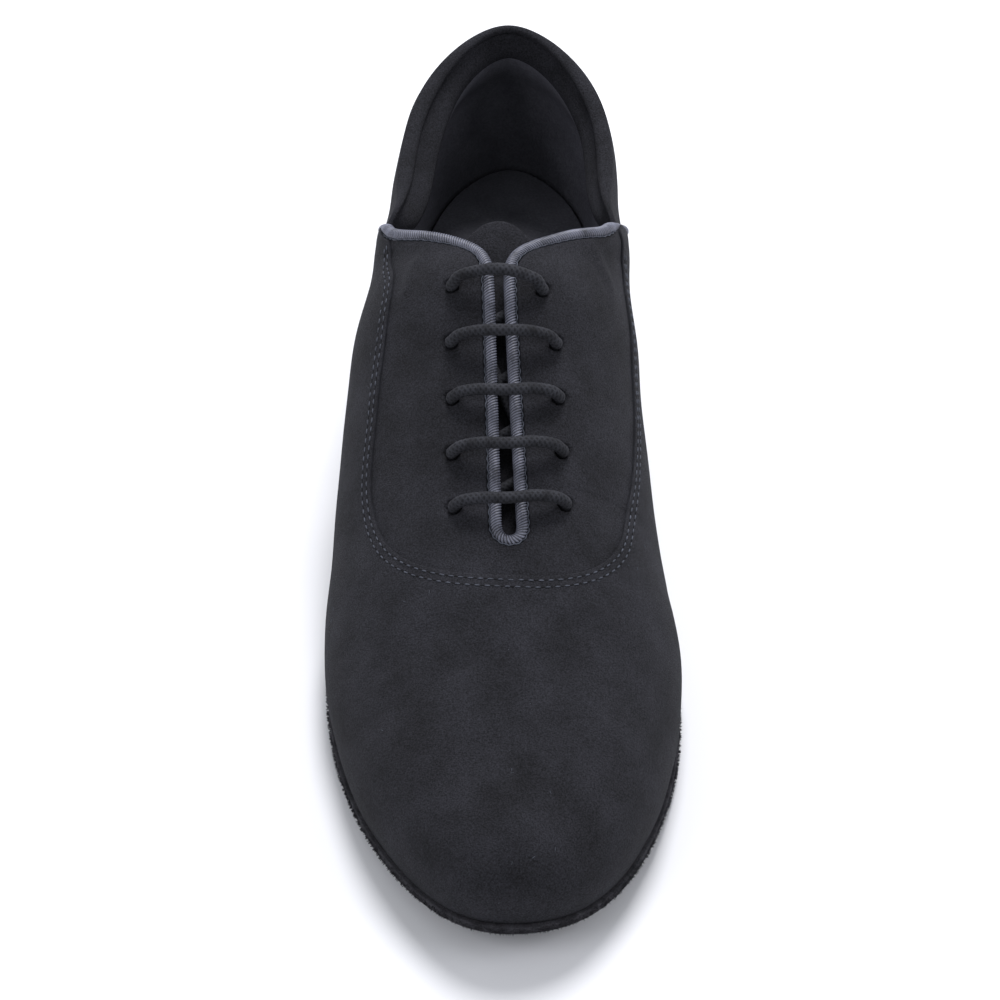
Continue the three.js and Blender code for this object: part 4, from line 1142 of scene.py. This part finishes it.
# Sole, insole and heel
sole = {"edge": 1.2, "insole": 3, "heelLength": 68, "inset": 0.4, "taper": 2.2, "topPiece": 6,
        "step": 0.05, "round": 0.6, "softRound": 0.5}


def soleTop(y):
    return soleUnder(y) + last["soleThickness"]


def insoleUnder(y):
    return soleTop(y) + last["seam"]


def insoleTop(y):
    return insoleUnder(y) + sole["insole"]


def level(height):
    return lambda y: float(height) + 0 * y


def addSlab(name, levels, material, node, slotName, breast=None):
    # rings on the feather line's plan, from the underside up; each level is a margin and a
    # height as a function of y; a breast cuts the slab off square in front
    row = np.arange(0, lastRow + same, sole["step"])
    rings = []
    for margin, height in levels:
        ring = []
        for side in (1, -1):
            x, y, outX, outY = feather(side * row)
            x, y = x + outX * margin, y + outY * margin
            if breast is not None:
                x = np.where(y < breast, np.interp(breast, y, x), x)
                y = np.maximum(y, breast)
            ring.append(np.stack([x, y, height(y)], -1))
        rings.append(np.stack(ring))
    rings = np.stack(rings)  # level, side, row
    if breast is not None:
        start = np.where(rings[..., 1].max(axis=(0, 1)) > breast + same)[0][0] - 1
        rings = rings[:, :, start:]
    index = numbered(rings)
    loop = np.concatenate([index[:, 0], index[:, 1, ::-1]], 1)
    (a, b), (c, d) = index[0], index[-1]
    under = np.stack([a[:-1], a[1:], b[1:], b[:-1]], -1)
    over = np.stack([c[:-1], d[:-1], d[1:], c[1:]], -1)
    faces = np.concatenate([gridFaces(loop, wrapColumns=True)[:, ::-1], under, over])
    flat, faces, _ = weld(rings.reshape(-1, 3), faces, np.zeros(len(faces), int))
    addPiece(name, flat, outwardFaces(flat, faces), [material], replaces=[node], slot=slotName)


def rounded(margin, low, high, radius):
    # levels of an edge with rounded corners between two heights
    angle = np.linspace(0, np.pi / 2, 4)
    bottom = [(margin - radius * (1 - np.sin(a)), lambda y, a=a: low(y) + radius * (1 - np.cos(a)))
              for a in angle]
    top = [(margin - radius * (1 - np.cos(a)), lambda y, a=a: high(y) - radius * (1 - np.sin(a)))
           for a in angle]
    sides = [(margin, lambda y, s=s: low(y) + radius + (high(y) - low(y) - 2 * radius) * s)
             for s in (0.33, 0.66)]
    return bottom + sides + top


def addBottom():
    addSlab("soleLeather", rounded(sole["edge"], soleUnder, soleTop, sole["round"]), soleSuede,
            "outsole", "sole_suede")
    margin = -layers - upper["wall"] - 1.5 * last["seam"]
    addSlab("insoleBoard", rounded(margin, insoleUnder, insoleTop, sole["softRound"]), lining,
            "insole", "insole_leather")
    breast = last["shoeLength"] / 2 - sole["heelLength"]
    inset = -sole["inset"] - sole["taper"]
    start = sole["topPiece"] + last["seam"]
    # the stack widens from the top piece to the seat
    stack = [(inset + sole["taper"] * s,
              lambda y, s=s: start + (soleUnder(y) - last["seam"] - start) * s)
             for s in np.linspace(0, 1, 8)]
    addSlab("heelStack", stack, heelLeather, "heel_block", "heel_leather", breast)
    addSlab("heelPad", rounded(inset, level(0), level(sole["topPiece"]), sole["softRound"]),
            soleSuede, "heel_top_piece", "sole_suede", breast)


addBottom()

# Loose fibres that make the cut edge of the sole fuzzy: count round the front and round the heel
fibre = {"count": 2400, "heel": 900, "rows": 6.5, "length": 1.7, "width": 0.3, "lowest": 1.0}


def addFibres():
    row = np.concatenate([rng.uniform(-fibre["rows"], fibre["rows"], fibre["count"]),
                          rng.uniform(fibre["rows"], 2 * lastRow - fibre["rows"], fibre["heel"])])
    x, y, outX, outY = feather(row)
    share = rng.uniform(0.12, 0.88, len(row))
    x, y = x + outX * sole["edge"], y + outY * sole["edge"]
    rise = np.maximum(share * last["soleThickness"], fibre["lowest"])
    spot = np.stack([x, y, soleUnder(y) + rise], -1)
    out = np.stack([outX, outY, 0 * outX], -1)
    along = unit(out * rng.uniform(0.3, 1.2, (len(row), 1)) + rng.normal(0, 0.55, spot.shape))
    normal = unit(np.cross(along, unit(rng.normal(size=spot.shape))))
    points, faces = beads(spot, along, normal, fibre["length"], fibre["width"], fibre["width"],
                          rings=2, sides=4)
    addPiece("soleFibres", points, faces, [soleSuede])


addFibres()
